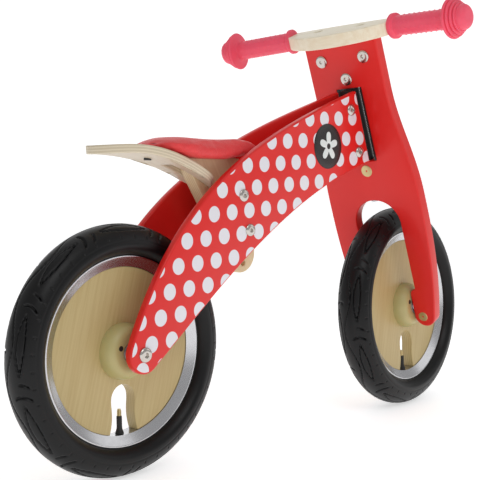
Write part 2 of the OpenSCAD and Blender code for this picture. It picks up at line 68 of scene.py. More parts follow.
@dataclass(frozen=True)
class Axes:
    """A right-handed set of axes in the row frame: an origin in metres and three unit vectors."""

    origin: Array
    x: Array
    y: Array
    z: Array

    def place(self, points: Array) -> Array:
        """Puts points into the row frame: origin plus each coordinate along its own axis.

        Args:
            points: Coordinates in these axes, in millimetres, in the last dimension.

        Returns:
            The same points in the row frame, in metres.
        """
        p = np.asarray(points, float) * MM
        return self.origin + p[..., :1] * self.x + p[..., 1:2] * self.y + p[..., 2:3] * self.z

    def moved(self, x: float = 0.0, y: float = 0.0, z: float = 0.0) -> "Axes":
        """These axes with their origin moved by millimetres along themselves."""
        return Axes(self.place(np.array([x, y, z])), self.x, self.y, self.z)

    def spin_along(self, direction: Array) -> "Axes":
        """Axes at the same origin whose Z lies along a direction of the row frame."""
        z = np.asarray(direction, float) / np.linalg.norm(direction)
        side = self.z if abs(z @ self.z) < 0.9 else self.x
        x = np.cross(side, z)
        x /= np.linalg.norm(x)
        return Axes(self.origin, x, np.cross(z, x), z)


def bezier(a: Sequence, b: Sequence, c: Sequence, d: Sequence, count: int) -> Array:
    """Points of the cubic curve from a to d with handles b and c, evenly spaced in t."""
    t = np.linspace(0, 1, count)[:, None]
    a, b, c, d = (np.asarray(p, float) for p in (a, b, c, d))
    return (1 - t) ** 3 * a + 3 * (1 - t) ** 2 * t * b + 3 * (1 - t) * t**2 * c + t**3 * d


def arc(centre: Sequence, radius: float, start: float, end: float, count: int,
        end_radius: Optional[float] = None) -> Array:
    """Points of an arc between two angles in degrees; its radius may grow evenly to end_radius."""
    a = np.radians(np.linspace(start, end, count))
    r = np.linspace(radius, radius if end_radius is None else end_radius, count)
    return np.asarray(centre, float) + np.stack([r * np.cos(a), r * np.sin(a)], 1)


def segment(a: Sequence, b: Sequence, count: int) -> Array:
    """Evenly spaced points from a to b, without b."""
    t = np.linspace(0, 1, count, endpoint=False)[:, None]
    return np.asarray(a, float) * (1 - t) + np.asarray(b, float) * t


def smoothstep(low: float, high: float, value: Array) -> Array:
    """The smooth ramp 3t² - 2t³ from 0 at low to 1 at high."""
    t = np.clip((value - low) / (high - low), 0, 1)
    return t * t * (3 - 2 * t)


# ---------------------------------------------------------------- meshes


def grid_faces(rows: int, columns: int, wrap_rows: bool = False, wrap_columns: bool = True) -> Array:
    """Quads of a grid of points numbered row by row, which may close on itself either way."""
    i = np.arange(rows if wrap_rows else rows - 1)[:, None]
    j = np.arange(columns if wrap_columns else columns - 1)[None, :]
    i2, j2 = (i + 1) % rows, (j + 1) % columns
    corners_of = [i * columns + j, i * columns + j2, i2 * columns + j2, i2 * columns + j]
    return np.stack(corners_of, -1).reshape(-1, 4)


def in_scene(name: str, data: bpy.types.ID) -> Piece:
    """A new object of the scene that holds a mesh, a light or a camera."""
    made = bpy.data.objects.new(name, data)
    bpy.context.scene.collection.objects.link(made)
    return made


def make_object(name: str, points: Array, faces: Sequence, pattern: Optional[Array] = None,
                sharp: float = 40.0) -> Piece:
    """Makes a closed, outward-facing mesh object from points in the row frame.

    Args:
        name: The piece's name.
        points: One point a row, in metres.
        faces: Lists of point numbers.
        pattern: Coordinates in millimetres that the piece's material follows, one row a point.
        sharp: Edges that bend more than this many degrees stay crisp.

    Returns:
        The new object, at the origin.
    """
    mesh = bpy.data.meshes.new(name)
    mesh.from_pydata(np.asarray(points, float).tolist(), [], [list(f) for f in faces])
    if pattern is not None:
        layer = mesh.attributes.new("pattern", "FLOAT_VECTOR", "POINT")
        layer.data.foreach_set("vector", np.asarray(pattern, np.float32).ravel())
    work = bmesh.new()
    work.from_mesh(mesh)
    bmesh.ops.remove_doubles(work, verts=work.verts, dist=1e-6)
    bmesh.ops.dissolve_degenerate(work, edges=work.edges, dist=1e-7)
    bmesh.ops.recalc_face_normals(work, faces=work.faces)
    work.to_mesh(mesh)
    work.free()
    mesh.polygons.foreach_set("use_smooth", np.ones(len(mesh.polygons), bool))
    mesh.set_sharp_from_angle(angle=math.radians(sharp))
    return in_scene(name, mesh)


def joined(name: str, parts: Sequence[Piece]) -> Piece:
    """One object that holds the meshes of several; the first one is kept and renamed."""
    with bpy.context.temp_override(active_object=parts[0], selected_editable_objects=list(parts)):
        bpy.ops.object.join()
    parts[0].name = name
    return parts[0]


def lathe(name: str, axes: Axes, profile: Array, steps: int = 96, swell: Optional[Swell] = None,
          sharp: float = 40.0) -> Piece:
    """A profile of radius and height carried once round the axes' Z.

    The point of step k and profile point i is (r cos a, r sin a, h) with a = k turns / steps,
    and swell(angle, radius, height) adds to the radius.

    Args:
        name: The piece's name.
        axes: The axes whose Z is the spin axis.
        profile: Rows of radius and height, in millimetres, from pole to pole or as a closed ring.
        steps: How many steps go round.
        swell: What is added to the radius, as a function of whole arrays.
        sharp: Edges that bend more than this many degrees stay crisp.

    Returns:
        The new object.
    """
    profile = np.asarray(profile, float)
    closed = profile[0, 0] > 1e-6
    angle = np.linspace(0, TURN, steps, endpoint=False)[None, :]
    radius = np.repeat(profile[:, :1], steps, 1)
    height = np.repeat(profile[:, 1:2], steps, 1)
    if swell is not None:
        radius = radius + swell(angle, radius, height)
    points = np.stack([radius * np.cos(angle), radius * np.sin(angle), height], -1)
    pattern = np.stack([np.degrees(angle) + 0 * radius, radius, height], -1)
    return make_object(name, axes.place(points).reshape(-1, 3), grid_faces(len(profile), steps, closed),
                       pattern.reshape(-1, 3), sharp)


def inside(points: Array, loops: Sequence[Array]) -> Array:
    """Whether each 2D point lies inside an odd number of closed loops, by counting crossings."""
    found = np.zeros(len(points), bool)
    for loop in loops:
        a, b = loop, np.roll(loop, -1, 0)
        for start in range(0, len(a), 64):
            p, q = a[start:start + 64], b[start:start + 64]
            spans = (p[None, :, 1] > points[:, None, 1]) != (q[None, :, 1] > points[:, None, 1])
            rise = np.where(q[:, 1] == p[:, 1], 1e-12, q[:, 1] - p[:, 1])
            slope = (q[:, 0] - p[:, 0]) / rise
            at = p[None, :, 0] + (points[:, None, 1] - p[None, :, 1]) * slope[None]
            found ^= ((spans & (points[:, None, 0] < at)).sum(1) % 2).astype(bool)
    return found


def area(loop: Array) -> float:
    """The signed area of a closed 2D loop, positive when it runs anticlockwise."""
    x, y = loop[:, 0], loop[:, 1]
    return 0.5 * float(np.sum(x * np.roll(y, -1) - y * np.roll(x, -1)))


def inward(loop: Array) -> Array:
    """Mitred left-hand normals of a closed loop: the step that moves it a unit towards its left."""
    ahead = np.roll(loop, -1, 0) - loop
    ahead /= np.maximum(np.linalg.norm(ahead, axis=1, keepdims=True), 1e-9)
    left = np.stack([-ahead[:, 1], ahead[:, 0]], 1)
    total = left + np.roll(left, 1, 0)
    total /= np.maximum(np.linalg.norm(total, axis=1, keepdims=True), 1e-9)
    return total / np.clip(np.sum(total * left, 1, keepdims=True), 0.5, 1)


@dataclass
class Board:
    """A board cut to an outline, with eased edges and any holes, that may then be bent.

    Attributes:
        name: The piece's name.
        axes: The board lies in their X and Y, and Z is its thickness.
        outline: Its closed outline, in millimetres.
        low: Height of its lower face.
        high: Height of its upper face.
        holes: Closed outlines of its holes.
        ease: Radius of the rounding of its edges.
        spacing: Distance between the points inside its faces; 0 leaves them out.
        bend: Moves whole arrays of points, in millimetres, from the flat board to the bent one.
    """

    name: str
    axes: Axes
    outline: Array
    low: float
    high: float
    holes: Sequence[Array] = ()
    ease: float = 1.5
    spacing: float = 0.0
    bend: Optional[Callable[[Array], Array]] = None

    def _rings(self) -> list[tuple[float, float]]:
        """Inset and height of each ring of the edge: two quarter circles and the straight between."""
        turn = np.radians(np.linspace(90, 0, 5))
        inset = self.ease * (1 - np.cos(turn))
        drop = self.ease * (1 - np.sin(turn))
        upper = [(i, self.high - d) for i, d in zip(inset, drop)]
        return upper + [(i, self.low + d) for i, d in zip(inset[::-1], drop[::-1])]

    def _face(self, loops: Sequence[Array]) -> tuple[Array, Array]:
        """Extra inner points and triangles that fill the loops, numbered after the loops' points."""
        flat = np.concatenate(loops)
        edges, start = [], 0
        for loop in loops:
            edges += [(start + i, start + (i + 1) % len(loop)) for i in range(len(loop))]
            start += len(loop)
        extra = np.zeros((0, 2))
        if self.spacing:
            low, high = flat.min(0), flat.max(0)
            x, y = np.meshgrid(*(np.arange(low[k], high[k], self.spacing) for k in (0, 1)))
            extra = np.stack([x.ravel(), y.ravel()], 1)
            near = np.min(np.linalg.norm(extra[:, None] - flat[None], axis=2), 1)
            extra = extra[inside(extra, loops) & (near > self.spacing * 0.5)]
        every = np.concatenate([flat, extra])
        found = delaunay_2d_cdt([Vector(p) for p in every], edges, [], 0, 1e-6)
        source = [ids[0] if ids else -1 for ids in found[3]]
        triangles = np.array([[source[i] for i in f] for f in found[2]])
        triangles = triangles[(triangles >= 0).all(1)]
        return extra, triangles[inside(every[triangles].mean(1), loops)]

    def build(self) -> Piece:
        """Makes the board: each loop carried round its edge rings, and both faces filled."""
        loops = [self.outline if area(self.outline) > 0 else self.outline[::-1]]
        loops += [h if area(h) < 0 else h[::-1] for h in self.holes]
        rings = self._rings()
        points, faces, bases = [], [], []
        for loop in loops:
            step = inward(loop)
            base = sum(len(p) for p in points)
            bases.append(base)
            for inset, height in rings:
                points.append(np.column_stack([loop + inset * step, np.full(len(loop), height)]))
            faces += (grid_faces(len(rings), len(loop)) + base).tolist()
        inner = [loop + self.ease * inward(loop) for loop in loops]
        extra, triangles = self._face(inner)
        for ring, height in ((0, self.high), (len(rings) - 1, self.low)):
            own = [np.arange(len(loop)) + b + ring * len(loop) for loop, b in zip(loops, bases)]
            base = sum(len(p) for p in points)
            own = np.concatenate([*own, np.arange(len(extra)) + base])
            points.append(np.column_stack([extra, np.full(len(extra), height)]))
            faces += own[triangles].tolist()
        flat = np.concatenate(points)
        placed = flat if self.bend is None else self.bend(flat)
        return make_object(self.name, self.axes.place(placed), faces, flat, 50.0)


# ---------------------------------------------------------------- finishes


class Graph:
    """Short calls that add shader nodes to one material and link them."""

    def __init__(self, name: str) -> None:
        """Starts a material with an empty node tree."""
        self.material = bpy.data.materials.new(name)
        self.material.use_nodes = True
        self.tree = self.material.node_tree
        self.tree.nodes.clear()
        self.out = self.tree.nodes.new("ShaderNodeOutputMaterial")
        self.shader = self.tree.nodes.new("ShaderNodeBsdfPrincipled")
        self.tree.links.new(self.shader.outputs[0], self.out.inputs[0])

    def add(self, kind: str, inputs: Optional[dict] = None, **settings) -> bpy.types.Node:
        """Adds a node, sets its properties, and sets or links its inputs.

        Args:
            kind: The node's type name without the ShaderNode that it starts with.
            inputs: Input name or number to a value or to the output that feeds it.
            **settings: The node's own properties.

        Returns:
            The new node.
        """
        node = self.tree.nodes.new("ShaderNode" + kind)
        for key, value in settings.items():
            setattr(node, key, value)
        for key, value in (inputs or {}).items():
            self.feed(node.inputs[key], value)
        return node

    def feed(self, socket: Socket, value: object) -> None:
        """Links an output to a socket, or sets the socket's own value."""
        if isinstance(value, Socket):
            self.tree.links.new(value, socket)
        elif socket.type == "RGBA" and len(value) == 3:
            socket.default_value = (*value, 1)
        else:
            socket.default_value = value

    def math(self, operation: str, a: object, b: object = 0.0, c: object = 0.0) -> Socket:
        """The result of one Math node."""
        return self.add("Math", {0: a, 1: b, 2: c}, operation=operation).outputs[0]

    def ramp(self, value: object, low: float, high: float) -> Socket:
        """A smooth ramp from 0 at low to 1 at high; low may be above high."""
        ends = {0: value, 1: low, 2: high, 3: 0.0, 4: 1.0}
        return self.add("MapRange", ends, interpolation_type="SMOOTHSTEP").outputs[0]

    def mix(self, factor: object, a: object, b: object) -> Socket:
        """A colour between a and b."""
        node = self.add("Mix", data_type="RGBA")
        self.feed(node.inputs[0], factor)
        self.feed(node.inputs[6], a)
        self.feed(node.inputs[7], b)
        return node.outputs[2]

    def noise(self, vector: object, scale: float, detail: float = 3.0,
              rough: float = 0.5) -> Socket:
        """The value of a Noise texture."""
        inputs = {"Vector": vector, "Scale": scale, "Detail": detail, "Roughness": rough}
        return self.add("TexNoise", inputs).outputs[0]

    def place(self, source: object, scale: Colour = (1, 1, 1),
              turn: Colour = (0, 0, 0)) -> Socket:
        """A vector that is scaled, and turned by radians, by a Mapping node."""
        return self.add("Mapping", {"Vector": source, "Rotation": turn, "Scale": scale}).outputs[0]

    def object_mm(self) -> Socket:
        """Object coordinates in millimetres."""
        return self.place(self.add("TexCoord").outputs["Object"], (1 / MM,) * 3)

    def pattern(self) -> Socket:
        """The piece's own pattern coordinates, in millimetres."""
        return self.add("Attribute", attribute_name="pattern").outputs["Vector"]

    def bump(self, height: object, depth: float, before: object = None) -> Socket:
        """A normal bent by a height of 0 to 1 that stands for a depth in millimetres."""
        inputs = {"Strength": 1.0, "Distance": depth * MM, "Height": height}
        if before is not None:
            inputs["Normal"] = before
        return self.add("Bump", inputs).outputs[0]

    def finish(self, **sockets: object) -> bpy.types.Material:
        """Feeds the Principled shader's sockets, with _ for the spaces in their names."""
        for key, value in sockets.items():
            self.feed(self.shader.inputs[key.replace("_", " ")], value)
        return self.material


@dataclass(frozen=True)
class Lacquer:
    """Coloured gloss lacquer over plywood, with a printed pattern of dots if dotted.

    Attributes:
        name: The material's name.
        colour: The lacquer's colour.
        dotted: Whether the upper face of the board is printed with dots.
        face: Height of the board's upper face.
    """

    name: str
    colour: Colour = (0.78, 0.016, 0.013)
    dotted: bool = False
    face: float = 0.0
    dot_colour: Colour = (0.80, 0.79, 0.84)
    dot_radius: float = 9.6
    dot_pitch: float = 31.7
    dot_turn: float = math.radians(2.06)
    dot_start: tuple[float, float] = (42.5, 11.2)

    def _dots(self, g: Graph) -> Socket:
        """1 inside the dots: the distance to the nearer of two interlaced rectangular lattices."""
        split = g.add("SeparateXYZ", {0: g.pattern()}).outputs
        u = g.math("SUBTRACT", split[0], self.dot_start[0])
        v = g.math("SUBTRACT", split[1], self.dot_start[1])
        c, s = math.cos(self.dot_turn), math.sin(self.dot_turn)
        along = g.math("MULTIPLY_ADD", u, c, g.math("MULTIPLY", v, s))
        up = g.math("MULTIPLY_ADD", u, -s, g.math("MULTIPLY", v, c))
        wide, tall = self.dot_pitch, self.dot_pitch * math.sqrt(3)
        near = None

        def to_lattice(value: Socket, pitch: float, shift: float) -> Socket:
            """How far a coordinate is from the nearest of its even steps."""
            part = g.math("FRACT", g.math("MULTIPLY_ADD", value, 1 / pitch, shift + 0.5))
            return g.math("MULTIPLY", g.math("SUBTRACT", part, 0.5), pitch)

        for shift in (0.0, 0.5):
            x, y = to_lattice(along, wide, shift), to_lattice(up, tall, shift)
            span = g.math("SQRT", g.math("MULTIPLY_ADD", x, x, g.math("MULTIPLY", y, y)))
            near = span if near is None else g.math("MINIMUM", near, span)
        on_face = g.ramp(split[2], self.face - 0.08, self.face - 0.02)
        dots = g.ramp(near, self.dot_radius + 0.25, self.dot_radius - 0.25)
        return g.math("MULTIPLY", dots, on_face)

    def material(self) -> bpy.types.Material:
        """Builds the material: colour, faint mottling, orange peel and a clear coat."""
        g = Graph(self.name)
        where = g.object_mm()
        mottle = g.noise(where, 0.02, 2)
        dark = tuple(c * 0.93 for c in self.colour)
        colour = g.mix(mottle, self.colour, dark)
        peel = g.noise(where, 0.9, 2)
        grain = g.noise(g.place(where, (0.06, 1.2, 0.25), (0, -0.5, 0)), 1.0, 4, 0.6)
        height = g.math("MULTIPLY_ADD", grain, 0.6, g.math("MULTIPLY", peel, 0.4))
        if self.dotted:
            dots = self._dots(g)
            colour = g.mix(dots, colour, self.dot_colour)
            height = g.math("MULTIPLY_ADD", dots, 0.5, height)
        rough = g.math("MULTIPLY_ADD", mottle, 0.1, 0.32)
        return g.finish(Base_Color=colour, Roughness=rough, Normal=g.bump(height, 0.04),
                        Coat_Weight=0.15, Coat_Roughness=0.12, Specular_IOR_Level=0.35)


@dataclass(frozen=True)
class Plywood:
    """Clear-lacquered plywood: figured veneer on its faces and its plies on its edges.

    Attributes:
        name: The material's name.
        light: The colour between the grain lines.
        dark: The colour of the grain lines.
        low: Height of the board's lower face.
        high: Height of the board's upper face.
        plies: How many veneers the board has.
        grain: Angle of the grain in the board's plane, in degrees.
        solid: Whether the edges show wood grain in place of plies.
    """

    name: str
    light: Colour
    dark: Colour
    low: float
    high: float
    plies: int = 9
    grain: float = 0.0
    solid: bool = False

    def material(self) -> bpy.types.Material:
        """Builds the material from the board's own pattern coordinates."""
        g = Graph(self.name)
        where = g.pattern()
        depth = g.add("SeparateXYZ", {0: where}).outputs[2]
        turned = g.place(where, (1, 1, 1), (0, 0, math.radians(self.grain)))
        warp = g.noise(g.place(turned, (0.012, 0.05, 0.05)), 1.0, 3, 0.6)
        bands = g.noise(g.place(turned, (0.01, 0.32, 0.12)), 1.0, 5, 0.62)
        fibre = g.noise(g.place(turned, (0.12, 2.6, 1.2)), 1.0, 4, 0.7)
        fine = g.math("MULTIPLY", fibre, 0.35)
        figure = g.math("MULTIPLY_ADD", g.ramp(bands, 0.35, 0.68), 0.6, fine)
        figure = g.math("MULTIPLY", figure, g.math("MULTIPLY_ADD", warp, 0.9, 0.45))
        face = g.mix(figure, self.light, self.dark)
        height = g.math("MULTIPLY", fibre, 0.6)
        if self.solid:
            colour = face
        else:
            ply = (self.high - self.low) / self.plies
            step = g.math("MULTIPLY", g.math("SUBTRACT", depth, self.low), 1 / ply)
            odd = g.math("GREATER_THAN", g.math("FRACT", g.math("MULTIPLY", step, 0.5)), 0.5)
            off_middle = g.math("SUBTRACT", g.math("FRACT", step), 0.5)
            seam = g.ramp(g.math("ABSOLUTE", off_middle), 0.40, 0.49)
            across = g.noise(where, 0.8, 4, 0.7)
            pale = tuple(min(1.0, c * 1.04) for c in self.light)
            deep = tuple(0.45 * a + 0.55 * b for a, b in zip(self.light, self.dark))
            plies = g.mix(odd, g.mix(across, pale, self.light), g.mix(across, deep, self.dark))
            plies = g.mix(g.math("MULTIPLY", seam, 0.45), plies, tuple(c * 0.55 for c in self.dark))
            skin = 0.25
            upper = g.ramp(depth, self.high - skin, self.high - skin - 0.15)
            lower = g.ramp(depth, self.low + skin, self.low + skin + 0.15)
            edge = g.math("MULTIPLY", upper, lower)
            colour = g.mix(edge, face, plies)
            height = g.math("MULTIPLY_ADD", g.math("MULTIPLY", edge, odd), -0.5, height)
        rough = g.math("MULTIPLY_ADD", fibre, 0.15, 0.38)
        return g.finish(Base_Color=colour, Roughness=rough, Normal=g.bump(height, 0.08),
                        Coat_Weight=0.15, Coat_Roughness=0.25)


@dataclass(frozen=True)
class Metal:
    """Plated or turned metal, with faint turning marks and wear."""

    name: str
    colour: Colour
    rough: float
    marks: float = 0.01

    def material(self) -> bpy.types.Material:
        """Builds the material: colour, patchy roughness and fine marks."""
        g = Graph(self.name)
        where = g.object_mm()
        patch = g.noise(where, 0.15, 4, 0.65)
        fine = g.noise(g.place(where, (2.5, 2.5, 2.5)), 1.0, 3, 0.7)
        colour = g.mix(patch, self.colour, tuple(c * 0.88 for c in self.colour))
        rough = g.math("MULTIPLY_ADD", patch, 0.12, self.rough)
        return g.finish(Base_Color=colour, Metallic=1.0, Roughness=rough,
                        Normal=g.bump(fine, self.marks))


@dataclass(frozen=True)
class Moulded:
    """Moulded plastic, rubber or painted board with a fine even texture."""

    name: str
    colour: Colour
    rough: float
    texture: float = 0.02
    scale: float = 1.2
    sheen: float = 0.0
    glow: float = 0.0
    shine: float = 0.5

    def material(self) -> bpy.types.Material:
        """Builds the material: uneven colour, a fine texture and any soft glow below its skin."""
        g = Graph(self.name)
        where = g.object_mm()
        cloud = g.noise(where, 0.05, 3)
        fine = g.noise(where, self.scale, 4, 0.6)
        colour = g.mix(cloud, self.colour, tuple(c * 0.86 for c in self.colour))
        rough = g.math("MULTIPLY_ADD", fine, 0.14, self.rough)
        return g.finish(Base_Color=colour, Roughness=rough, Normal=g.bump(fine, self.texture),
                        Sheen_Weight=self.sheen, Subsurface_Weight=self.glow, Subsurface_Scale=0.003,
                        Specular_IOR_Level=self.shine)


@dataclass(frozen=True)
class Vinyl:
    """Soft vinyl cover with a pebbled grain and a gentle gloss."""

    name: str
    colour: Colour

    def material(self) -> bpy.types.Material:
        """Builds the material: pebbles from a cell texture, painted shade in the grooves between them and
        cloudy gloss.
        """
        g = Graph(self.name)
        where = g.object_mm()
        cells = g.add("TexVoronoi", {"Vector": where, "Scale": 0.9}, feature="DISTANCE_TO_EDGE")
        pebble = g.ramp(cells.outputs[0], 0.0, 0.18)
        cloud = g.noise(where, 0.03, 3)
        colour = g.mix(cloud, self.colour, tuple(c * 0.9 for c in self.colour))
        # Painted shade: the colour is darkened towards 0.6 of itself in the grooves between the pebbles.
        painted_groove_shade = g.math("MULTIPLY_ADD", pebble, -0.25, 0.25)
        colour = g.mix(painted_groove_shade, colour, tuple(c * 0.6 for c in self.colour))
        rough = g.math("MULTIPLY_ADD", cloud, 0.15, 0.36)
        return g.finish(Base_Color=colour, Roughness=rough, Normal=g.bump(pebble, 0.05),
                        Sheen_Weight=0.03, Coat_Weight=0.05, Coat_Roughness=0.3,
                        Specular_IOR_Level=0.4)


class Palette(Enum):
    """Every finish on the bike."""

    RED = Lacquer("red_lacquer")
    DOTS = Lacquer("dotted_lacquer", dotted=True)
    DISC = Plywood("disc_plywood", (0.57, 0.45, 0.21), (0.48, 0.345, 0.14), -8.5, 8.5, 11, -75.0)
    POST = Plywood("post_plywood", (0.80, 0.66, 0.41), (0.68, 0.50, 0.28), -9.0, 9.0, 11, 62.0)
    TAIL = Plywood("tail_plywood", (0.72, 0.63, 0.47), (0.58, 0.48, 0.33), 0.0, 10.0, 6, 0.0)
    BAR = Plywood("handlebar_wood", (0.90, 0.83, 0.66), (0.80, 0.68, 0.47), 0.0, 18.0, 7, 88.0, True)
    SPACER = Moulded("turned_wood", (0.80, 0.66, 0.42), 0.5, 0.05)
    RIM = Metal("plated_rim", (0.62, 0.62, 0.64), 0.17, 0.004)
    CHROME = Metal("bright_chrome", (0.62, 0.58, 0.54), 0.14, 0.004)
    STEEL = Metal("zinc_steel", (0.55, 0.56, 0.58), 0.3, 0.02)
    BRASS = Metal("turned_brass", (0.62, 0.50, 0.26), 0.28, 0.02)
    TYRE = Moulded("black_tread", (0.003, 0.003, 0.0035), 0.32, 0.04, 1.6, 0.0, 0.0, 0.3)
    TUBE = Moulded("butyl_rubber", (0.02, 0.02, 0.02), 0.6, 0.03)
    HUB = Moulded("cream_plastic", (0.55, 0.48, 0.21), 0.3, 0.012, 0.8, 0.0, 0.1)
    BLACK = Moulded("black_nylon", (0.02, 0.018, 0.018), 0.38, 0.02)
    BASE = Moulded("black_board", (0.018, 0.016, 0.016), 0.6, 0.06)
    BADGE = Moulded("badge_black", (0.012, 0.010, 0.010), 0.22, 0.004)
    EMBLEM = Moulded("badge_white", (0.82, 0.88, 0.86), 0.35, 0.01)
    GRIP = Moulded("soft_grip", (0.98, 0.10, 0.17), 0.40, 0.03, 1.4, 0.05, 0.12, 0.4)
    PAD = Vinyl("pebbled_vinyl", (0.86, 0.05, 0.055))

    @property
    def material(self) -> bpy.types.Material:
        """The finish's material, built the first time that it is asked for."""
        return bpy.data.materials.get(self.value.name) or self.value.material()


def dress(piece: Piece, finish: Palette) -> Piece:
    """Gives a piece one finish all over."""
    piece.data.materials.clear()
    piece.data.materials.append(finish.material)
    return piece


def fit_piece(piece: Piece, finish: Palette, body: str, slot: str, *nodes: str) -> Piece:
    """Dresses a new piece, puts it on a body, and hides and logs the CAD nodes it replaces."""
    dress(piece, finish)
    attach(piece, body)
    if nodes:
        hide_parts(*nodes)
    LOG.info("%s rides on %s and stands for %s", piece.name, body, ", ".join(nodes) or "nothing")
    return piece


def dress_node(node: str, finish: Palette) -> None:
    """Gives a CAD node that stays in view its finish."""
    dress(frame["nodes"][node], finish)
    LOG.info("%s keeps its CAD shape", node)


# ---------------------------------------------------------------- where things are


@dataclass(frozen=True)
class Layout:
    """The axes that every sub-assembly is built in, worked out from the frame's joints."""

    rear: Axes
    front: Axes
    fork: Axes
    head: Axes

    @classmethod
    def from_frame(cls) -> "Layout":
        """Reads the steering axis and the two spin axes from the frame's joints."""
        joints = {j["name"]: j for j in frame["joints"]}
        steer = joints["steering"]
        up = np.array(steer["axis"], float)
        foot = np.array(steer["pos_m"], float)
        left = np.array([0.0, 1.0, 0.0])
        turned = np.array(joints["front_wheel_spin"]["axis"], float)
        head = Axes(foot, np.cross(left, up), left, up)
        fork = Axes(foot, np.cross(turned, up), turned, up)
        rake = math.atan2(-up[0], up[2])
        c, s = math.cos(rake), math.sin(rake)
        front = Axes(foot, c * fork.x - s * fork.z, turned, s * fork.x + c * fork.z)
        middle = np.array(joints["rear_wheel_spin"]["pos_m"], float)
        rear = Axes(middle, np.array([1.0, 0.0, 0.0]), left, np.array([0.0, 0.0, 1.0]))
        return cls(rear, front, fork, head)


@dataclass(frozen=True)
class Cap:
    """A domed bolt cap with a hex socket, on a plain shank."""

    radius: float
    height: float
    socket: float
    shank: float
    length: float

    def build(self, name: str, axes: Axes) -> Piece:
        """Makes the cap with its seat at the axes' origin and its dome towards their Z.

        The dome is a part of an ellipse, and the socket's radius follows a hexagon:
        cos 30° over the cosine of the angle to the middle of the nearest side.
        """
        turn = np.radians(np.linspace(90, 8, 9))
        flat = self.socket * 1.15
        dome = np.stack([flat + (self.radius - flat) * np.cos(turn),
                         self.height * (0.35 + 0.65 * np.sin(turn))], 1)
        floor = self.height * 0.3
        hollow = np.array([[0.0, floor], [self.socket * 0.96, floor], [self.socket, self.height * 0.94]])
        foot = np.array([[self.radius, self.height * 0.25], [self.radius * 0.97, 0.0],
                         [self.shank, 0.0], [self.shank, -self.length], [0.0, -self.length]])
        profile = np.concatenate([hollow, dome, foot])
        edge = self.socket * 1.02

        def hexagon(angle: Array, radius: Array, height: Array) -> Array:
            """Draws the socket's rings in to a hexagon and leaves the rest round."""
            side = np.abs((angle % (TURN / 6)) - TURN / 12)
            sunk = (radius < edge) & (height > 0)
            return np.where(sunk, radius * (math.cos(TURN / 12) / np.cos(TURN / 12 - side) - 1), 0)

        return lathe(name, axes, profile, 48, hexagon, 35.0)


# ---------------------------------------------------------------- wheels


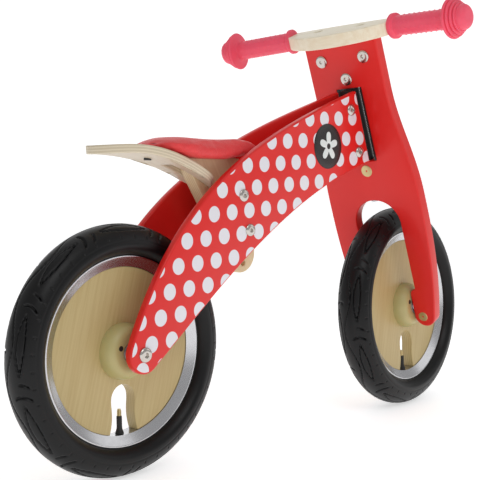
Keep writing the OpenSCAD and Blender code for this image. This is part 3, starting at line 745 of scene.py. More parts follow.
@dataclass
class Wheel:
    """A plywood disc wheel with a plated rim and a pneumatic tyre."""

    name: str
    axes: Axes
    tyre_r: float = 145.0
    tyre_half: float = 25.5
    rim_r: float = 109.2
    rim_half: float = 15.0
    seat_r: float = 101.5
    disc_r: float = 96.0
    disc_half: float = 8.5
    hub_r: float = 32.7
    hub_half: float = 26.5
    hub_face_r: float = 21.0
    screw_r: float = 17.0
    gap_half: float = 17.0
    gap_top: float = 55.0
    tread_repeats: int = 9

    def __post_init__(self) -> None:
        """Works out the spin axes: Z along the axle, with X forward and Y up."""
        a = self.axes
        self.spin = Axes(a.origin, a.x, a.z, np.cross(a.x, a.z))

    def _tread(self, angle: Array, across: Array) -> Array:
        """Depth of the tread's grooves, in millimetres, at an angle round the wheel and round the tyre.

        The pattern repeats round the wheel, and half a repeat apart on the two sides. In a repeat
        each side has a long and a short cut across it and an eye-shaped loop of two cosine
        curves between the cuts. A sine wave runs along the crown, and fine nicks round the shoulder.

        Args:
            angle: Angle round the wheel, in radians.
            across: Angle round the tyre's section, 0 at the crown, in radians.

        Returns:
            The depth at each point.
        """
        pitch = TURN * self.tyre_r / self.tread_repeats
        per_degree = math.radians(self.tyre_half)
        phase = angle * self.tread_repeats / TURN
        a = np.degrees(across)
        reach = np.abs(a)
        place = (phase + 0.25 * np.sign(a) + 0.5) % 1.0 - 0.5

        def line(gap: Array, half_width: float) -> Array:
            """1 where the gap in millimetres is 0, falling to 0 at the half-width."""
            return 1 - smoothstep(half_width * 0.45, half_width, np.abs(gap))

        def band(low: float, high: float) -> Array:
            """1 between two distances from the crown, in degrees, with short ramps."""
            return smoothstep(low, low + 3, reach) * (1 - smoothstep(high - 3, high, reach))

        lean = 0.05 * ((reach - 30) / 25) ** 2
        cut_at, eye_at, eye_half = 0.07, 33, 0.34
        long_cut = line((place - cut_at - lean) * pitch, 1.9) * band(12, 58)
        short_cut = line((place + cut_at - lean) * pitch, 1.7) * band(28, 56)
        opposite = (place + 1.0) % 1.0 - 0.5
        loop = 11 * np.cos(np.clip(opposite / eye_half, -1, 1) * math.pi / 2)
        eye = np.maximum(line((reach - eye_at - loop) * per_degree, 1.0),
                         line((reach - eye_at + loop) * per_degree, 1.0))
        eye = eye * (np.abs(opposite) < eye_half)
        wave = line((a - 12 * np.sin(TURN * phase)) * per_degree, 1.1)
        nick_pitch = pitch / 5
        nicks = line(((place * 5 + 0.5) % 1.0 - 0.5) * nick_pitch, 1.2) * band(60, 70)
        ring = line((reach - 76) * per_degree, 1.0)
        cuts = (2.3 * long_cut, 2.0 * short_cut, 1.7 * eye, 1.8 * wave, 1.0 * nicks, 0.6 * ring)
        return np.maximum.reduce(np.broadcast_arrays(*cuts))

    def tyre(self) -> Piece:
        """The tyre: a round section carried round the wheel, less its tread, and closed by its inside.

        The outside at section angle b has radius R + r(b) cos b and width r(b) sin b, where r(b)
        is a little less at the crown and in the grooves. The inside is a smaller section.
        """
        steps = 920
        ring_r = self.tyre_r - self.tyre_half
        limit = math.radians(84)
        across = np.linspace(-limit, limit, 64)[:, None]
        angle = np.linspace(0, TURN, steps, endpoint=False)[None, :]
        flat_crown = 0.35 * np.exp(-((np.degrees(across) / 26) ** 2))
        radius = self.tyre_half - flat_crown - self._tread(angle, across)
        outer = np.stack([ring_r + radius * np.cos(across), radius * np.sin(across)], -1)
        bead = self.rim_half - 1.8
        wall = bezier((ring_r + 1.5, self.tyre_half), (116.5, self.tyre_half), (112.5, 20.5),
                      (110.2, 15.8), 9)
        turn = np.radians(np.linspace(118, -118, 10))
        inside_r = self.tyre_half - 5.1
        inside_wall = np.stack([ring_r + 1 + inside_r * np.cos(turn), 18 * np.sin(turn)], 1)
        foot = np.array([[self.rim_r + 0.7, bead + 1.2], [self.rim_r + 0.1, bead - 0.8],
                         [self.rim_r - 3.2, bead - 1.2], [self.seat_r + 1.7, bead - 2.6],
                         [self.seat_r + 1.0, 7.0]])
        side = np.concatenate([wall, foot])
        profile = np.concatenate([side, inside_wall, side[::-1] * [1, -1]])
        rest = np.repeat(profile[:, None, :], steps, 1)
        section = np.concatenate([outer, rest])
        out, up = section[..., 0], section[..., 1]
        points = np.stack([out * np.cos(angle), out * np.sin(angle), up], -1)
        pattern = np.stack([np.degrees(angle) + 0 * out, out, up], -1)
        placed = self.spin.place(points).reshape(-1, 3)
        return make_object(f"{self.name}_tyre_skin", placed, grid_faces(len(section), steps, True),
                           pattern.reshape(-1, 3), 60.0)

    def rim(self) -> Piece:
        """The plated rim: a C-shaped section with rolled flanges, carried round the wheel."""
        roll = 1.1
        flange = arc((self.rim_r - roll, self.rim_half - roll), roll, -20, 90, 8)
        mouth_r = self.disc_r + 0.25
        band = bezier((self.rim_r - 2.2, self.rim_half - 0.1), (self.rim_r - 4.2, self.rim_half - 1.4),
                      (self.disc_r + 4.0, self.disc_half + 2.6), (mouth_r, self.disc_half + 0.7), 18)
        half = np.concatenate([flange, band, [[mouth_r, self.disc_half - 1.2]]])
        within = np.array([[self.disc_r + 1.7, 7.4], [self.seat_r, 9.3],
                           [self.rim_r - 4.5, self.rim_half - 3.1],
                           [self.rim_r - 1.4, self.rim_half - 1.9]])
        ring = np.concatenate([half, half[::-1] * [1, -1], within * [1, -1], within[::-1]])
        return lathe(f"{self.name}_rim_band", self.spin, ring, 180, sharp=50.0)

    def disc(self) -> Piece:
        """The plywood disc, with its keyhole opening for the valve and a small hole for the axle."""
        g, top = self.gap_half, -self.gap_top
        foot = -math.sqrt(self.disc_r**2 - (g + 3.0) ** 2)
        side = bezier((g, top), (g + 0.5, -64), (g - 3.5, -74), (g + 3.0, foot), 14)
        start = math.degrees(math.atan2(foot, g + 3.0))
        rim = arc((0, 0), self.disc_r, start, start + 360 - 2 * (90 + start), 150)
        crown = arc((0, top), g, 180, 0, 24)
        outline = np.concatenate([rim[:-1], (side * [-1, 1])[::-1][:-1], crown[:-1], side[:-1]])
        hole = arc((0, 0), 12.0, 0, 360, 40)[:-1]
        return Board(f"{self.name}_disc_board", self.spin, outline, -self.disc_half, self.disc_half,
                     [hole], 0.9).build()

    def hub(self) -> Piece:
        """The two cream hub domes: a quarter ellipse with a flat face and a groove at the bearing."""
        domes = []
        for side in (1, -1):
            turn = np.radians(np.linspace(0, 90, 18))
            span = self.hub_half - self.disc_half
            dome = np.stack([self.hub_face_r + (self.hub_r - self.hub_face_r) * np.cos(turn),
                             self.disc_half + span * np.sin(turn) ** 0.9], 1)
            face = np.array([[12.6, self.hub_half], [11.6, self.hub_half - 0.8],
                             [11.2, self.hub_half - 4], [9.0, self.hub_half - 6.5],
                             [9.0, self.disc_half]])
            profile = np.concatenate([dome, face]) * [1, side]
            domes.append(lathe(f"{self.name}_dome", self.spin, profile, 96, sharp=50.0))
        return joined(f"{self.name}_hub_domes", domes)

    def hub_screws(self) -> Piece:
        """Three flat dark plugs on each side, a hair proud of the hub's face, as painted shade inside its
        sunk screw wells.
        """
        parts = []
        # Painted shade: a flat dark disc at the hub's face stands in for the shade inside each sunk screw
        # well.
        well = np.array([[0, 0.04], [2.8, 0.04], [3.1, 0.12], [3.3, -0.4], [3.3, -13], [0, -13]])
        for side in (1, -1):
            for k in range(3):
                a = math.radians(38 + 120 * k)
                at = self.spin.moved(self.screw_r * math.cos(a), self.screw_r * math.sin(a),
                                     side * (self.hub_half - 0.02))
                axes = at.spin_along(self.spin.z * side)
                parts.append(lathe(f"{self.name}_well", axes, well, 24))
        return joined(f"{self.name}_hub_screw_set", parts)

    def bearings(self) -> Piece:
        """A bearing on each side: a steel outer ring, a sunk shield and an inner ring."""
        parts = []
        for side in (1, -1):
            h = self.hub_half + 0.3
            ring = np.array([[4.05, h - 0.3], [4.3, h], [6.6, h], [7.0, h - 0.7], [9.0, h - 0.7],
                             [9.3, h - 0.2], [10.8, h - 0.2], [11.0, h - 0.5], [11.0, h - 7],
                             [4.05, h - 7]])
            parts.append(lathe(f"{self.name}_bearing", self.spin, ring * [1, side], 64, sharp=30.0))
        return joined(f"{self.name}_bearing_pair", parts)

    def valve(self) -> list[Piece]:
        """The valve: a rubber stem with a shoulder at the rim, and a brass top with a thread and cap."""
        down = self.spin.spin_along(-self.spin.y)
        stem = np.array([[0, 75.5], [2.7, 75.5], [3.1, 76.1], [3.2, 78], [3.2, 88], [3.5, 91],
                         [4.6, 94], [5.0, 96], [3.5, 97], [3.5, 101.4], [0, 101.4]])
        body = lathe(f"{self.name}_valve_stem", down, stem, 48)
        thread = np.linspace(0, 1, 40)
        turns = np.stack([2.4 + 0.2 * np.abs((thread * 7) % 1 - 0.5) * 2, 69.5 + thread * 6], 1)
        cap = np.concatenate([[[0, 67.6], [1.7, 67.6], [2.0, 68.0], [2.1, 69.4]], turns, [[0, 75.6]]])
        return [body, lathe(f"{self.name}_valve_top", down, cap, 40, sharp=30.0)]

    def build(self) -> None:
        """Makes, dresses and mounts every piece of the wheel."""
        n, body = self.name, f"{self.name}_wheel"
        fit_piece(self.tyre(), Palette.TYRE, body, "tyre_rubber", f"{n}_tyre")
        fit_piece(self.rim(), Palette.RIM, body, "bright_rim", f"{n}_rim")
        fit_piece(self.disc(), Palette.DISC, body, "ply", f"{n}_disc")
        fit_piece(self.hub(), Palette.HUB, body, "hub_plastic", f"{n}_hub")
        # The black plugs are painted shade for the hub's sunk screw wells.
        fit_piece(self.hub_screws(), Palette.BLACK, body, "steel", f"{n}_hub_screws")
        fit_piece(self.bearings(), Palette.STEEL, body, "steel", f"{n}_hub_bearings")
        stem, top = self.valve()
        fit_piece(stem, Palette.TUBE, body, "valve_rubber", f"{n}_valve")
        fit_piece(top, Palette.BRASS, body, "valve_rubber")
        dress_node(f"{n}_inner_tube", Palette.TUBE)
        dress_node(f"{n}_hub_sleeve", Palette.STEEL)


# ---------------------------------------------------------------- frame and seat


@dataclass
class MainFrame:
    """The two side panels, the head block between them, and what fastens them."""

    layout: Layout
    thickness: float = 10.0
    offset: float = 48.6
    splay: float = 4.0
    front_edge: float = -17.0
    head_bolts: tuple = ((393.3, 282.4), (412.2, 225.2))
    seat_bolts: tuple = ((168.9, 172.0), (180.0, 129.3))
    badge: tuple = (341.5, 232.8)
    badge_r: float = 30.0

    def axes(self, side: int) -> Axes:
        """A panel's plane: X from the rear axle to the head, Y up, and Z across the bike.

        Args:
            side: 1 for the left-hand panel and -1 for the right-hand one.

        Returns:
            Axes with Z to the right, out of the right-hand panel and into the left-hand one.
        """
        rear = self.layout.rear
        s = math.radians(self.splay)
        x = np.array([math.cos(s), -side * math.sin(s), 0.0])
        up = np.array([0.0, 0.0, 1.0])
        return Axes(rear.place(np.array([0, side * self.offset, 0])), x, up, np.cross(x, up))

    def outline(self) -> Array:
        """The panel's outline: two long curves, a round rear end, and an edge by the steering axis."""
        upper = bezier((-18, 12), (62, 184), (188, 240), (424, 314), 160)
        lower = bezier((16, -17.5), (116, 54), (262, 178), (462, 216.5), 160)
        head = self.layout.head
        foot = (head.origin - self.layout.rear.origin) / MM
        slant = math.cos(math.radians(self.splay))

        def behind(curve: Array) -> Array:
            """The part of a curve behind the front edge, ended exactly on it."""
            ahead = (curve[:, 0] * slant - foot[0]) * head.x[0] + curve[:, 1] * head.x[2]
            ahead = ahead - self.front_edge
            last = int(np.argmax(ahead > 0))
            share = ahead[last - 1] / (ahead[last - 1] - ahead[last])
            end = curve[last - 1] + share * (curve[last] - curve[last - 1])
            return np.concatenate([curve[:last], end[None]])

        upper, lower = behind(upper), behind(lower)
        end = arc((1.5, 1), 22.4, 150.6, 308.1, 60, 23.5)
        return np.concatenate([end[1:-1], lower, segment(lower[-1], upper[-1], 30)[1:], upper[::-1]])

    def panel(self, side: int) -> Piece:
        """A side panel with eased edges, its pattern's depth set so that the outer face lies at 0."""
        out = -side
        low, high = (-self.thickness, 0.0) if out > 0 else (0.0, self.thickness)
        name = "left" if side > 0 else "right"
        made = Board(f"{name}_panel_board", self.axes(side), self.outline(), low, high,
                     ease=2.5).build()
        values = np.zeros(len(made.data.vertices) * 3, np.float32)
        layer = made.data.attributes["pattern"].data
        layer.foreach_get("vector", values)
        values = values.reshape(-1, 3)
        values[:, 2] *= out
        layer.foreach_set("vector", values.ravel())
        return made

    def face_at(self, x: float) -> float:
        """Distance from the middle of the bike to a panel's outer face, x ahead of the rear axle."""
        return self.offset - math.tan(math.radians(self.splay)) * x

    def caps(self, name: str, places: Sequence, cap: Cap) -> Piece:
        """A domed cap and half a shank on each side, for each bolt through the frame."""
        parts = []
        for x, z in places:
            for side in (1, -1):
                seat = self.face_at(x) - 0.1
                at = self.layout.rear.moved(x, side * seat, z)
                axes = at.spin_along(np.array([side * math.sin(math.radians(self.splay)), side, 0.0]))
                parts.append(replace(cap, length=seat - 1).build(f"{name}_cap", axes))
        return joined(name, parts)

    def badge_disc(self, side: int) -> list[Piece]:
        """A plain black disc with a low dome, and a raised five-petalled rosette on it."""
        panel = self.axes(side)
        out = panel.z * -side
        at = panel.moved(self.badge[0], self.badge[1], 0.0)
        axes = Axes(at.origin, panel.x, np.cross(out, panel.x), out)
        r = self.badge_r
        profile = np.array([[0, 1.35], [r * 0.4, 1.3], [r * 0.75, 1.15], [r - 1.2, 0.95],
                            [r - 0.3, 0.6], [r, 0.05], [r, -0.4], [0, -0.4]])
        disc = lathe("badge_disc", axes, profile, 96)
        steps = 160
        angle = np.linspace(0, TURN, steps, endpoint=False)
        petal = 0.47 + 0.20 * np.cos(5 * angle - math.pi / 2) - 0.03 * np.cos(10 * angle - math.pi)
        petal = r * petal
        outline = np.stack([petal * np.cos(angle), petal * np.sin(angle)], 1)
        heart = arc((0, 0), r * 0.13, 0, 360, 40)[:-1]
        flower = Board("badge_rosette", axes, outline, 1.0, 1.75, [heart], 0.25).build()
        return [disc, flower]

    def build(self) -> None:
        """Makes, dresses and mounts every piece of the frame."""
        for side, name in ((1, "left"), (-1, "right")):
            fit_piece(self.panel(side), Palette.DOTS, "frame", "red_paint", f"panel_{name}")
        discs, flowers = zip(*(self.badge_disc(side) for side in (1, -1)))
        fit_piece(joined("badge_discs", list(discs)), Palette.BADGE, "frame", "badge", "badges")
        fit_piece(joined("badge_rosettes", list(flowers)), Palette.EMBLEM, "frame", "badge")
        bolt = Cap(7.6, 3.4, 2.6, 3.0, 30.0)
        axle = Cap(8.5, 4.0, 3.1, 4.0, 30.0)
        for name, places, cap, nodes in (
                ("head_bolt_set", self.head_bolts, bolt, ("head_bolts",)),
                ("seat_bolt_set", self.seat_bolts, bolt, ("seat_bolts",)),
                ("rear_axle_bolt", [(0, 0)], axle, ("rear_axle", "rear_axle_nut"))):
            fit_piece(self.caps(name, places, cap), Palette.CHROME, "frame", "chrome", *nodes)
        for node, finish in (("head_block", Palette.BLACK), ("head_bushes", Palette.STEEL),
                             ("rear_axle_spacers", Palette.STEEL), ("seat_spacers", Palette.SPACER)):
            dress_node(node, finish)


@dataclass
class Seat:
    """The seat post, the bent tail board and the padded saddle."""

    layout: Layout
    tail_low: float = 368.3
    tail_crest: float = -5.0
    tail_radius: float = 265.0
    tail_thickness: float = 10.0
    post_half: float = 9.0
    pad_top: float = 385.5
    pad_rear: tuple = (84.0, 46.5)
    pad_front: tuple = (211.0, 17.5)

    def __post_init__(self) -> None:
        """Works out the axes: X forward of the rear axle, Y left, Z up from the ground."""
        rear = self.layout.rear
        self.ground = Axes(rear.origin * [1, 1, 0], rear.x, rear.y, rear.z)
        self.upright = Axes(self.ground.origin, rear.x, rear.z, -rear.y)

    @staticmethod
    def leaf(x1: float, r1: float, x2: float, r2: float, count: int) -> Array:
        """A round-ended outline around two circles on the X axis, starting at its front tip."""
        turn = 90 - math.degrees(math.asin((r1 - r2) / (x2 - x1)))
        front = arc((x2, 0), r2, -turn, turn, count)
        rear = arc((x1, 0), r1, turn, 360 - turn, count)
        sides = segment(front[-1], rear[0], count)[1:]
        return np.concatenate([front, sides, rear, segment(rear[-1], front[0], count)[1:]])

    def tail_board(self) -> Piece:
        """The tail board: a leaf outline with a slot, bent round a cylinder that lies across the bike.

        A point u along and n above the lower face goes to angle asin((u - crest) / R), at radius R + n.
        """
        front_x, front_r = 113, 27
        leaf = self.leaf(12, 40, front_x, front_r, 40)
        half = self.post_half + 0.1
        keep = ~((np.abs(leaf[:, 1]) < half) & (leaf[:, 0] > 60))
        start = int(np.argmax((leaf[:, 1] > half) & keep))
        leaf = np.roll(leaf, -start, 0)
        leaf = leaf[np.roll(keep, -start)]
        tip = front_x + math.sqrt(front_r**2 - half**2)
        end = 78
        notch = np.concatenate([segment((tip, -half), (end, -half), 12),
                                segment((end, -half), (end, half), 4),
                                segment((end, half), (tip, half), 12), [[tip, half]]])
        outline = np.concatenate([leaf, notch])

        def bend(flat: Array) -> Array:
            """Wraps the flat board round its cylinder."""
            turn = np.arcsin((flat[:, 0] - self.tail_crest) / self.tail_radius)
            reach = self.tail_radius + flat[:, 2]
            return np.stack([self.tail_crest + reach * np.sin(turn), flat[:, 1],
                             self.tail_low - self.tail_radius + reach * np.cos(turn)], 1)

        return Board("tail_board_leaf", self.ground, outline, 0.0, self.tail_thickness, [], 1.2, 8.0,
                     bend).build()

    def base_under(self, x: float) -> float:
        """Height of the underside of the seat base, x ahead of the rear axle."""
        return 379.3 - math.tan(math.radians(5.1)) * x

    def post(self) -> Piece:
        """The seat post board: a slanted web with a round lower lobe and a spare hole."""
        lobe, r = np.array([191.0, 243.5]), 24.0
        rear = lobe + r * np.array([-math.cos(math.radians(20)), math.sin(math.radians(20))])
        front = lobe + r * np.array([math.cos(math.radians(12)), math.sin(math.radians(12))])
        top_rear, top_front = (93, self.base_under(93) - 0.2), (190, self.base_under(190) - 0.2)
        outline = np.concatenate([
            segment(top_rear, rear, 20), arc(lobe, r, 160, 372, 60)[:-1],
            segment(front, top_front, 20), segment(top_front, top_rear, 20)])
        hole = arc((194.5, 232), 4.0, 0, 360, 32)[:-1]
        return Board("seat_post_board", self.upright, outline, -self.post_half, self.post_half,
                     [hole], 1.2).build()

    def _pad_rings(self, grow: float) -> Array:
        """Rings of the saddle from its lower lip to its crown, as heights over a shrinking outline.

        A ring at share s of the outline lies at s of the way from the middle line to the edge.
        The crown falls with the square of that share, and the saddle dips along its length.

        Args:
            grow: How far the outline is drawn out, in millimetres.

        Returns:
            An array of rings by steps by three coordinates.
        """
        (x1, r1), (x2, r2) = self.pad_rear, self.pad_front
        steps = 120
        edge = self.leaf(x1, r1 + grow, x2, r2 + grow, 30)
        edge = edge[np.linspace(0, len(edge), steps, endpoint=False).astype(int)]
        spine = np.stack([np.clip(edge[:, 0], x1, x2), 0 * edge[:, 1]], 1)
        out = edge - spine
        under = np.interp(edge[:, 0], (37, 65, 87, 106, 156, 198, 228),
                          (375.0, 370.5, 366.5, 364.3, 362.8, 366.5, 373.0))
        side = ((0.86, 0.0), (0.95, 0.8), (1.0, 4.0), (1.0, 8.0))
        rings = [np.column_stack([spine + out * share, under + lift]) for share, lift in side]
        for share in (0.97, 0.9, 0.75, 0.5, 0.25, 0.0):
            flat = spine + out * share
            local = (flat[:, 0] - x1) / (x2 - x1)
            dip = 2.2 * np.sin(np.clip(local, 0, 1) * math.pi)
            crown = self.pad_top - 1.2 - dip - 7.5 * share**4
            crown = crown - 5.0 * smoothstep(0.9, 1.25, local) * share
            rings.append(np.column_stack([flat, crown]))
        return np.array(rings)

    def saddle(self) -> Piece:
        """The padded saddle: rings of a stuffed shape, swollen as cloth, with puckers at its lip."""
        rings = self._pad_rings(-2.5)
        floor = rings[0].copy()
        (x1, _), (x2, _) = self.pad_rear, self.pad_front
        middle = np.column_stack([np.clip(floor[:, 0], x1, x2), 0 * floor[:, 1], floor[:, 2]])
        every = np.concatenate([middle[None], rings])
        points = self.ground.place(every).reshape(-1, 3)
        pad = make_object("saddle_pad", points, grid_faces(len(every), every.shape[1]))
        self._inflate(pad)
        self._pucker(pad)
        smooth = pad.modifiers.new("Rounding", "SUBSURF")
        smooth.levels = smooth.render_levels = 1
        return pad

    def _inflate(self, pad: Piece) -> None:
        """Swells the pad as pressurised cloth and caps how far each point may move."""
        bpy.context.view_layer.objects.active = pad
        remesh = pad.modifiers.new("Even", "REMESH")
        remesh.mode = "VOXEL"
        remesh.voxel_size = 0.0042
        with bpy.context.temp_override(object=pad, active_object=pad):
            bpy.ops.object.modifier_apply(modifier=remesh.name)
        rest = self._points(pad)
        cloth = pad.modifiers.new("Stuffing", "CLOTH")
        cloth.settings.use_pressure = True
        cloth.settings.uniform_pressure_force = 4.0
        cloth.settings.effector_weights.gravity = 0.0
        cloth.settings.quality = 6
        frames = 20
        cloth.point_cache.frame_end = frames
        scene = bpy.context.scene
        for number in range(1, frames + 1):
            scene.frame_set(number)
        with bpy.context.temp_override(object=pad, active_object=pad):
            bpy.ops.object.modifier_apply(modifier=cloth.name)
        scene.frame_set(1)
        moved = self._points(pad) - rest
        length = np.linalg.norm(moved, axis=1, keepdims=True)
        farthest = 3.5 * MM
        moved *= np.minimum(1, farthest / np.maximum(length, 1e-9))
        low = 0.5 * smoothstep(0.366, 0.378, rest[:, 2:3]) + 0.5
        self._set_points(pad, rest + moved * low)

    @staticmethod
    def _points(piece: Piece) -> Array:
        """A mesh's points as an array."""
        values = np.zeros(len(piece.data.vertices) * 3)
        piece.data.vertices.foreach_get("co", values)
        return values.reshape(-1, 3)

    @staticmethod
    def _set_points(piece: Piece, points: Array) -> None:
        """Puts an array of points back into a mesh."""
        piece.data.vertices.foreach_set("co", points.ravel())
        piece.data.update()

    def _pucker(self, pad: Piece) -> None:
        """Presses small pleats into the pad's side round its rear end, fading up and forwards."""
        points = self._points(pad)
        local = (points - self.ground.origin) / MM
        (x1, _), _ = self.pad_rear, self.pad_front
        turn = np.arctan2(local[:, 1], local[:, 0] - x1)
        pleats = np.maximum(0, np.sin(turn * 34)) ** 2
        low = (1 - smoothstep(374, 383, local[:, 2])) * smoothstep(366, 371, local[:, 2])
        rear = 1 - smoothstep(x1 - 30, x1 + 22, local[:, 0])
        out = np.stack([np.cos(turn), np.sin(turn), 0 * turn], 1)
        self._set_points(pad, points - out * (0.9 * pleats * low * rear)[:, None] * MM)

    def build(self) -> None:
        """Makes, dresses and mounts every piece of the seat."""
        fit_piece(self.tail_board(), Palette.TAIL, "frame", "pale_ply", "tail_board")
        fit_piece(self.post(), Palette.POST, "frame", "ply", "seat_post")
        pad = fit_piece(self.saddle(), Palette.PAD, "frame", "coral_vinyl", "seat_pad")
        dress_node("seat_base", Palette.BASE)
        dress_node("seat_screws", Palette.BLACK)


# ---------------------------------------------------------------- fork and handlebar


@dataclass
class Fork:
    """The plywood fork with its steering pin, barrel nuts and front axle."""

    layout: Layout
    half: float = 9.0
    top: float = 399.2
    top_half: float = 57.5
    wide_half: float = 75.0
    leg_y: float = 43.5
    leg_z: float = -13.0
    leg_r: float = 16.0
    boss_half: float = 27.7
    gap_half: float = 36.5
    arch_top: float = 168.0
    slot_half: float = 19.5
    slot: tuple = (228.0, 334.0)

    def __post_init__(self) -> None:
        """Works out the board's plane: X to the rider's left, Y up the steering axis, Z forward."""
        f = self.layout.fork
        self.plane = Axes(f.origin, f.y, f.z, f.x)

    def outline(self) -> Array:
        """The fork's outline: its right side, the arch between the legs, and the mirrored left side."""
        end_turn = math.radians(-8)
        end = (self.leg_y + self.leg_r * math.cos(end_turn),
               self.leg_z + self.leg_r * math.sin(end_turn))
        top, wide, spring = self.top_half, self.wide_half, self.arch_top - self.gap_half
        upper = bezier((top, 326), (top + 0.5, 268), (wide, 232), (wide, 168), 40)
        lower = bezier((wide, 168), (wide + 0.5, 120), (wide + 0.5, 60), end, 50)
        tip = arc((self.leg_y, self.leg_z), self.leg_r, -12, -172, 40)
        boss_top, boss_r = 20, 8.8
        boss = np.concatenate([
            segment((self.boss_half, self.leg_z), (self.boss_half, boss_top), 8)[1:],
            arc((self.boss_half + boss_r, boss_top), boss_r, 180, 90, 12)[:-1],
            segment((self.gap_half, boss_top + boss_r), (self.gap_half, spring), 20)])
        arch = arc((0, spring), self.gap_half, 0, 180, 60)
        right = np.concatenate([segment((top, self.top), upper[0], 20), upper, lower[1:-1], tip, boss])
        return np.concatenate([right, arch, (right * [-1, 1])[::-1][1:]])

    def board(self) -> Piece:
        """The fork board with the slot that the head turns in."""
        low, high = self.slot
        w = self.slot_half
        ends = ((-w, low), (w, low), (w, high), (-w, high))
        slot = np.concatenate([segment(a, b, count) for a, b, count in
                               zip(ends, ends[1:] + ends[:1], (10, 24, 10, 24))])
        return Board("fork_main_board", self.plane, self.outline(), -self.half, self.half, [slot],
                     1.8).build()

    def rear_axes(self, y: float, z: float) -> Axes:
        """Axes on the board's rear face whose Z runs out of it to the rear."""
        return self.layout.fork.moved(-self.half, y, z).spin_along(-self.layout.fork.x)

    def rear_cap(self, name: str, places: Sequence, cap: Cap) -> Piece:
        """Caps on the board's rear face, at places given as sideways and up."""
        return joined(name, [cap.build(f"{name}_one", self.rear_axes(y, z)) for y, z in places])

    def brass_nut(self, name: str, places: Sequence, radius: float) -> Piece:
        """Brass barrel nuts just proud of the rear face, with a centre dimple and a turned edge."""
        profile = np.array([[0, -0.9], [0.9, -0.9], [1.5, 0.35], [radius * 0.45, 0.4],
                            [radius * 0.5, 0.25], [radius - 0.7, 0.45], [radius, 0.1],
                            [radius, -14.5], [0, -14.5]])
        return joined(name, [lathe(f"{name}_one", self.rear_axes(y, z), profile, 64, sharp=30.0)
                             for y, z in places])

    def leg_axes(self, side: int, out: float) -> Axes:
        """Axes on the front axle, a distance out from the middle, whose Z runs on outwards."""
        fork = self.layout.fork
        return fork.moved(0, side * out, 0).spin_along(fork.y * side)

    def axle_ends(self) -> Piece:
        """The front axle: a cap in a sunk ring at the outer edge of each leg, on half a shaft."""
        cap = Cap(5.9, 2.6, 2.2, 4.0, 57.5)
        return joined("front_axle_bolt",
                      [cap.build("axle_one", self.leg_axes(side, 58.6)) for side in (1, -1)])

    def axle_rings(self) -> Piece:
        """A dark ring round each end of the front axle, as painted shade of the sunk recess that its cap
        sits in.
        """
        # Painted shade: a dark ring round the cap stands in for the shade inside its sunk recess.
        ring = np.array([[5.9, 0.1], [6.9, 0.35], [7.2, 0.1], [7.2, -3.0], [5.9, -3.0]])
        return joined("front_axle_shade_rings",
                      [lathe("ring_one", self.leg_axes(side, 58.9), ring, 48) for side in (1, -1)])

    def build(self) -> None:
        """Makes, dresses and mounts every piece of the fork."""
        fit_piece(self.board(), Palette.RED, "fork", "red_paint", "fork_board")
        nut = Cap(8.7, 2.6, 2.6, 7.0, 14.5)
        for name, places, node in (("steering_cap", [(0, 347.7)], "steering_cap_nut"),
                                   ("bar_nut_caps", [(-34, 376), (34, 376)], "bar_cap_nuts")):
            fit_piece(self.rear_cap(name, places, nut), Palette.CHROME, "fork", "chrome", node)
        for name, places, radius, node in (
                ("lower_barrel_nut", [(0, 213)], 8.5, "steering_cross_nut"),
                ("leg_barrel_nuts", [(-41, -13.9), (41, -13.9)], 7.0, "leg_nuts")):
            fit_piece(self.brass_nut(name, places, radius), Palette.BRASS, "fork", "brass", node)
        fit_piece(self.axle_ends(), Palette.CHROME, "fork", "chrome",
                  "front_axle", "front_axle_nut")
        # The black rings are painted shade round the sunk axle caps.
        fit_piece(self.axle_rings(), Palette.BLACK, "fork", "black_plastic")
        for node, finish in (("slot_liners", Palette.BLACK), ("steering_pin", Palette.STEEL),
                             ("thrust_washers", Palette.BLACK), ("front_axle_spacers", Palette.STEEL),
                             ("leg_screws", Palette.STEEL)):
            dress_node(node, finish)


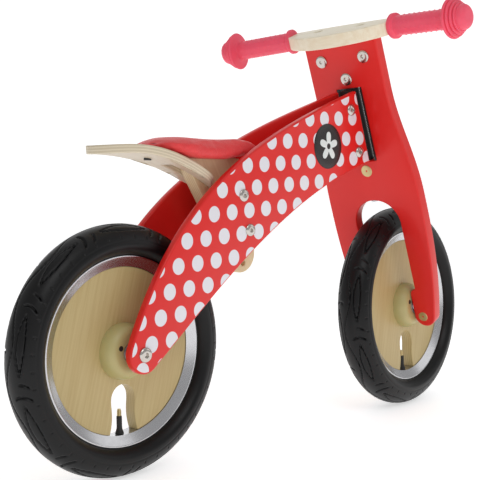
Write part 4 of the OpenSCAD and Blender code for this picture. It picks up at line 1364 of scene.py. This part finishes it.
@dataclass
class Handlebar:
    """The wooden handlebar and its two soft grips."""

    layout: Layout
    thickness: float = 18.0
    low: float = 399.2
    middle: float = 15.6
    sweep: float = 7.2
    start: float = 81.0
    reach: float = 198.0
    tube_r: float = 13.2
    dowel_r: float = 9.0
    dowel_end: float = 172.0
    flange_r: float = 26.5
    bolt_y: float = 34.0

    def grip_axes(self, side: int) -> Axes:
        """Axes whose Z runs out along one grip from the middle of the bar."""
        f = self.layout.fork
        at = f.moved(self.middle, 0, self.low + self.thickness / 2)
        s = math.radians(self.sweep)
        return at.spin_along(side * f.y * math.cos(s) - f.x * math.sin(s))

    def board(self) -> Piece:
        """The handlebar board: a bowed rear edge, a nearly straight front edge and two bolt holes."""
        s = math.radians(self.sweep)
        c, t = math.cos(s), math.sin(s)
        axis_end = np.array([self.middle - self.start * t, self.start * c])
        across = np.array([c, t])
        rear_end = axis_end - across * 17.4
        front_end = axis_end + across * 15.6
        rear = bezier(rear_end, (-56, 36), (-56, -36), rear_end * [1, -1], 60)
        front = bezier(front_end * [1, -1], (26, -30), (26, 30), front_end, 40)
        outline = np.concatenate([rear, segment(rear[-1], front[0], 8)[1:], front,
                                  segment(front[-1], rear[0], 8)[1:]])
        plane = self.layout.fork.moved(0, 0, self.low)
        holes = [arc((0, y), 6.0, 0, 360, 36)[:-1] for y in (-self.bolt_y, self.bolt_y)]
        return Board("handlebar_board", plane, outline, 0.0, self.thickness, holes, 1.6).build()

    def dowel(self, side: int) -> Piece:
        """The round tenon inside one grip."""
        r, start, end = self.dowel_r, self.start - 4, self.dowel_end
        profile = np.array([[0, start], [r, start], [r, end - 2], [r - 1, end], [0, end]])
        return lathe("dowel_one", self.grip_axes(side), profile, 48)

    def _grip_profile(self) -> Array:
        """Radius and distance along a grip: collar, tube, flange, three rings and a domed cap."""
        g, e, s = self.tube_r, self.reach / math.cos(math.radians(self.sweep)), self.start
        collar = np.concatenate([[[self.dowel_r, s], [g + 1.5, s]], arc((g + 2.0, s + 2.0), 2.0, -90, 0, 6),
                                 arc((g + 2.0, s + 5.0), 2.0, 0, 90, 6), [[g + 0.8, s + 7.6]]])
        tube = np.stack([np.full(160, g), np.linspace(s + 8.6, e - 29.0, 160)], 1)
        f = self.flange_r
        flange = np.concatenate([
            bezier((g, e - 28.5), (g + 1, e - 26.5), (f - 9, e - 26.5), (f - 3, e - 25.6), 12),
            arc((f - 2.0, e - 23.7), 2.0, -80, 80, 12)])
        rings = ((24.6, e - 19.4), (21.6, e - 15.4), (18.9, e - 11.6))
        stack = np.concatenate([
            np.concatenate([[[r - 2.2, z - 2.0]], arc((r - 1.7, z), 1.7, -60, 80, 10)])
            for r, z in rings])
        turn = np.radians(np.linspace(0, 90, 24))
        dome = np.stack([16.6 * np.cos(turn) ** 0.5, e - 9 + 9 * np.sin(turn)], 1)
        neck, pole = [[16.7, e - 10.0]], [[0, e]]
        hollow = np.array([[0, self.dowel_end], [self.dowel_r, self.dowel_end]])
        return np.concatenate([collar, tube, flange, stack, neck, dome[:-1], pole, hollow])

    def grip(self, side: int) -> Piece:
        """A soft grip with rows of small nubs on its tube and raised bars on its cap.

        A nub is a bump of the tube's radius, exp(-d²/w²), at each crossing of ten rows and
        even steps along the tube. A bar raises the cap where the distance across it is near a step.
        """
        e = self.reach / math.cos(math.radians(self.sweep))

        def nubs(angle: Array, radius: Array, height: Array) -> Array:
            """How far the nubs and the bars stand out at each point."""
            rows, pitch, size = 10, 8.0, 1.15
            along = (height - self.start - 4) / pitch
            near_z = ((along + 0.5) % 1 - 0.5) * pitch
            near_a = ((angle / TURN * rows + 0.25) % 1 - 0.5) * TURN / rows * radius
            nub = np.exp(-(near_z**2 + near_a**2) / size**2) * 0.95
            on_tube = (height > self.start + 11) & (height < e - 31)
            on_tube = on_tube & (np.abs(radius - self.tube_r) < 0.3)
            across, lengthwise = radius * np.sin(angle), radius * np.cos(angle)
            bar = np.maximum(0, np.cos(across / 3.4 * math.pi)) ** 2 * (np.abs(lengthwise) < 7.5)
            on_cap = (height > e - 7) & (radius > 0.5) & (radius < 13)
            return np.where(on_tube, nub, 0) + np.where(on_cap, 0.7 * bar, 0)

        name = f"grip_{'left' if side > 0 else 'right'}_skin"
        return lathe(name, self.grip_axes(side), self._grip_profile(), 128, nubs, 45.0)

    def build(self) -> None:
        """Makes, dresses and mounts the handlebar, its dowels and its grips."""
        fit_piece(self.board(), Palette.BAR, "fork", "pale_ply", "handlebar")
        dowels = joined("handlebar_dowels", [self.dowel(1), self.dowel(-1)])
        fit_piece(dowels, Palette.SPACER, "fork", "pale_ply")
        for side, name in ((1, "left"), (-1, "right")):
            fit_piece(self.grip(side), Palette.GRIP, "fork", "coral_rubber", f"grip_{name}")
        dress_node("bar_bolts", Palette.STEEL)


# ---------------------------------------------------------------- studio


@dataclass
class Studio:
    """The pale floor, the soft light and the camera."""

    eye: tuple = (-1.01481, -0.96154, 0.34739)
    yaw: float = 0.792193
    pitch: float = 0.064798
    roll: float = -0.014165
    lens: float = 80.43
    sky: float = 1.0

    def camera(self) -> None:
        """Aims the camera by yaw, pitch and roll, with no shift."""
        level = math.cos(self.pitch)
        fwd = np.array([math.cos(self.yaw) * level, math.sin(self.yaw) * level, -math.sin(self.pitch)])
        right = np.array([math.sin(self.yaw), -math.cos(self.yaw), 0.0])
        up = np.cross(right, fwd)
        c, s = math.cos(self.roll), math.sin(self.roll)
        right, up = c * right + s * up, -s * right + c * up
        data = bpy.data.cameras.new("camera")
        data.lens, data.sensor_width, data.clip_end = self.lens, 36.0, 50.0
        made = in_scene("camera", data)
        matrix = Matrix.Identity(4)
        for column, vector in enumerate((right, up, -fwd, np.array(self.eye))):
            for row in range(3):
                matrix[row][column] = vector[row]
        made.matrix_world = matrix
        bpy.context.scene.camera = made

    def floor(self) -> None:
        """A large pale floor just under the tyres."""
        size = 30.0
        mesh = bpy.data.meshes.new("floor")
        ends = [(-size, -size, 0), (size, -size, 0), (size, size, 0), (-size, size, 0)]
        mesh.from_pydata(ends, [], [(0, 1, 2, 3)])
        made = in_scene("floor", mesh)
        g = Graph("floor_paint")
        shade = g.noise(g.object_mm(), 0.002, 2)
        colour = g.mix(shade, (0.93, 0.93, 0.93), (0.96, 0.96, 0.96))
        made.data.materials.append(g.finish(Base_Color=colour, Roughness=0.8, Emission_Color=(1, 1, 1),
                                            Emission_Strength=0.55))

    def light(self, name: str, at: Colour, target: Colour, size: float, power: float) -> None:
        """A square soft box aimed at a point."""
        data = bpy.data.lights.new(name, "AREA")
        data.shape, data.size, data.energy = "SQUARE", size, power
        made = in_scene(name, data)
        made.location = at
        made.rotation_euler = (Vector(target) - Vector(at)).to_track_quat("-Z", "Y").to_euler()

    def world(self) -> None:
        """A white backdrop behind the bike that fades to a soft grey all round."""
        world = bpy.data.worlds.new("studio")
        bpy.context.scene.world = world
        world.use_nodes = True
        tree = world.node_tree
        tree.nodes.clear()
        out = tree.nodes.new("ShaderNodeOutputWorld")
        back = tree.nodes.new("ShaderNodeBackground")
        coord = tree.nodes.new("ShaderNodeTexCoord")
        dot = tree.nodes.new("ShaderNodeVectorMath")
        dot.operation = "DOT_PRODUCT"
        dot.inputs[1].default_value = (math.cos(self.yaw), math.sin(self.yaw), 0.0)
        ramp = tree.nodes.new("ShaderNodeMapRange")
        ramp.interpolation_type = "SMOOTHSTEP"
        for socket, value in zip(ramp.inputs[1:5], (0.55, 0.9, 0.42, 1.12)):
            socket.default_value = value
        tree.links.new(coord.outputs["Generated"], dot.inputs[0])
        tree.links.new(dot.outputs["Value"], ramp.inputs[0])
        tree.links.new(ramp.outputs[0], back.inputs["Color"])
        back.inputs["Strength"].default_value = self.sky
        tree.links.new(back.outputs[0], out.inputs[0])

    def build(self) -> None:
        """Sets up the camera, floor, sky and lights."""
        self.camera()
        self.floor()
        self.world()
        self.light("key", (-1.2, -2.4, 2.8), (0, 0, 0.2), 1.6, 19.0)
        self.light("top", (0.4, 0.4, 3.0), (0, 0, 0.2), 2.4, 8.0)
        self.light("side", (1.8, -1.6, 1.2), (0.2, 0, 0.2), 1.2, 3.0)
        bpy.context.scene.view_settings.view_transform = "Standard"


def main() -> None:
    """Builds every sub-assembly in order."""
    logging.basicConfig(level=logging.INFO, format="%(name)s: %(message)s")
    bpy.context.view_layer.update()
    Studio().build()
    layout = Layout.from_frame()
    for name, axes in (("rear", layout.rear), ("front", layout.front)):
        Wheel(name, axes).build()
    for assembly in (MainFrame(layout), Seat(layout), Fork(layout), Handlebar(layout)):
        assembly.build()


if __name__ == "__main__":
    main()
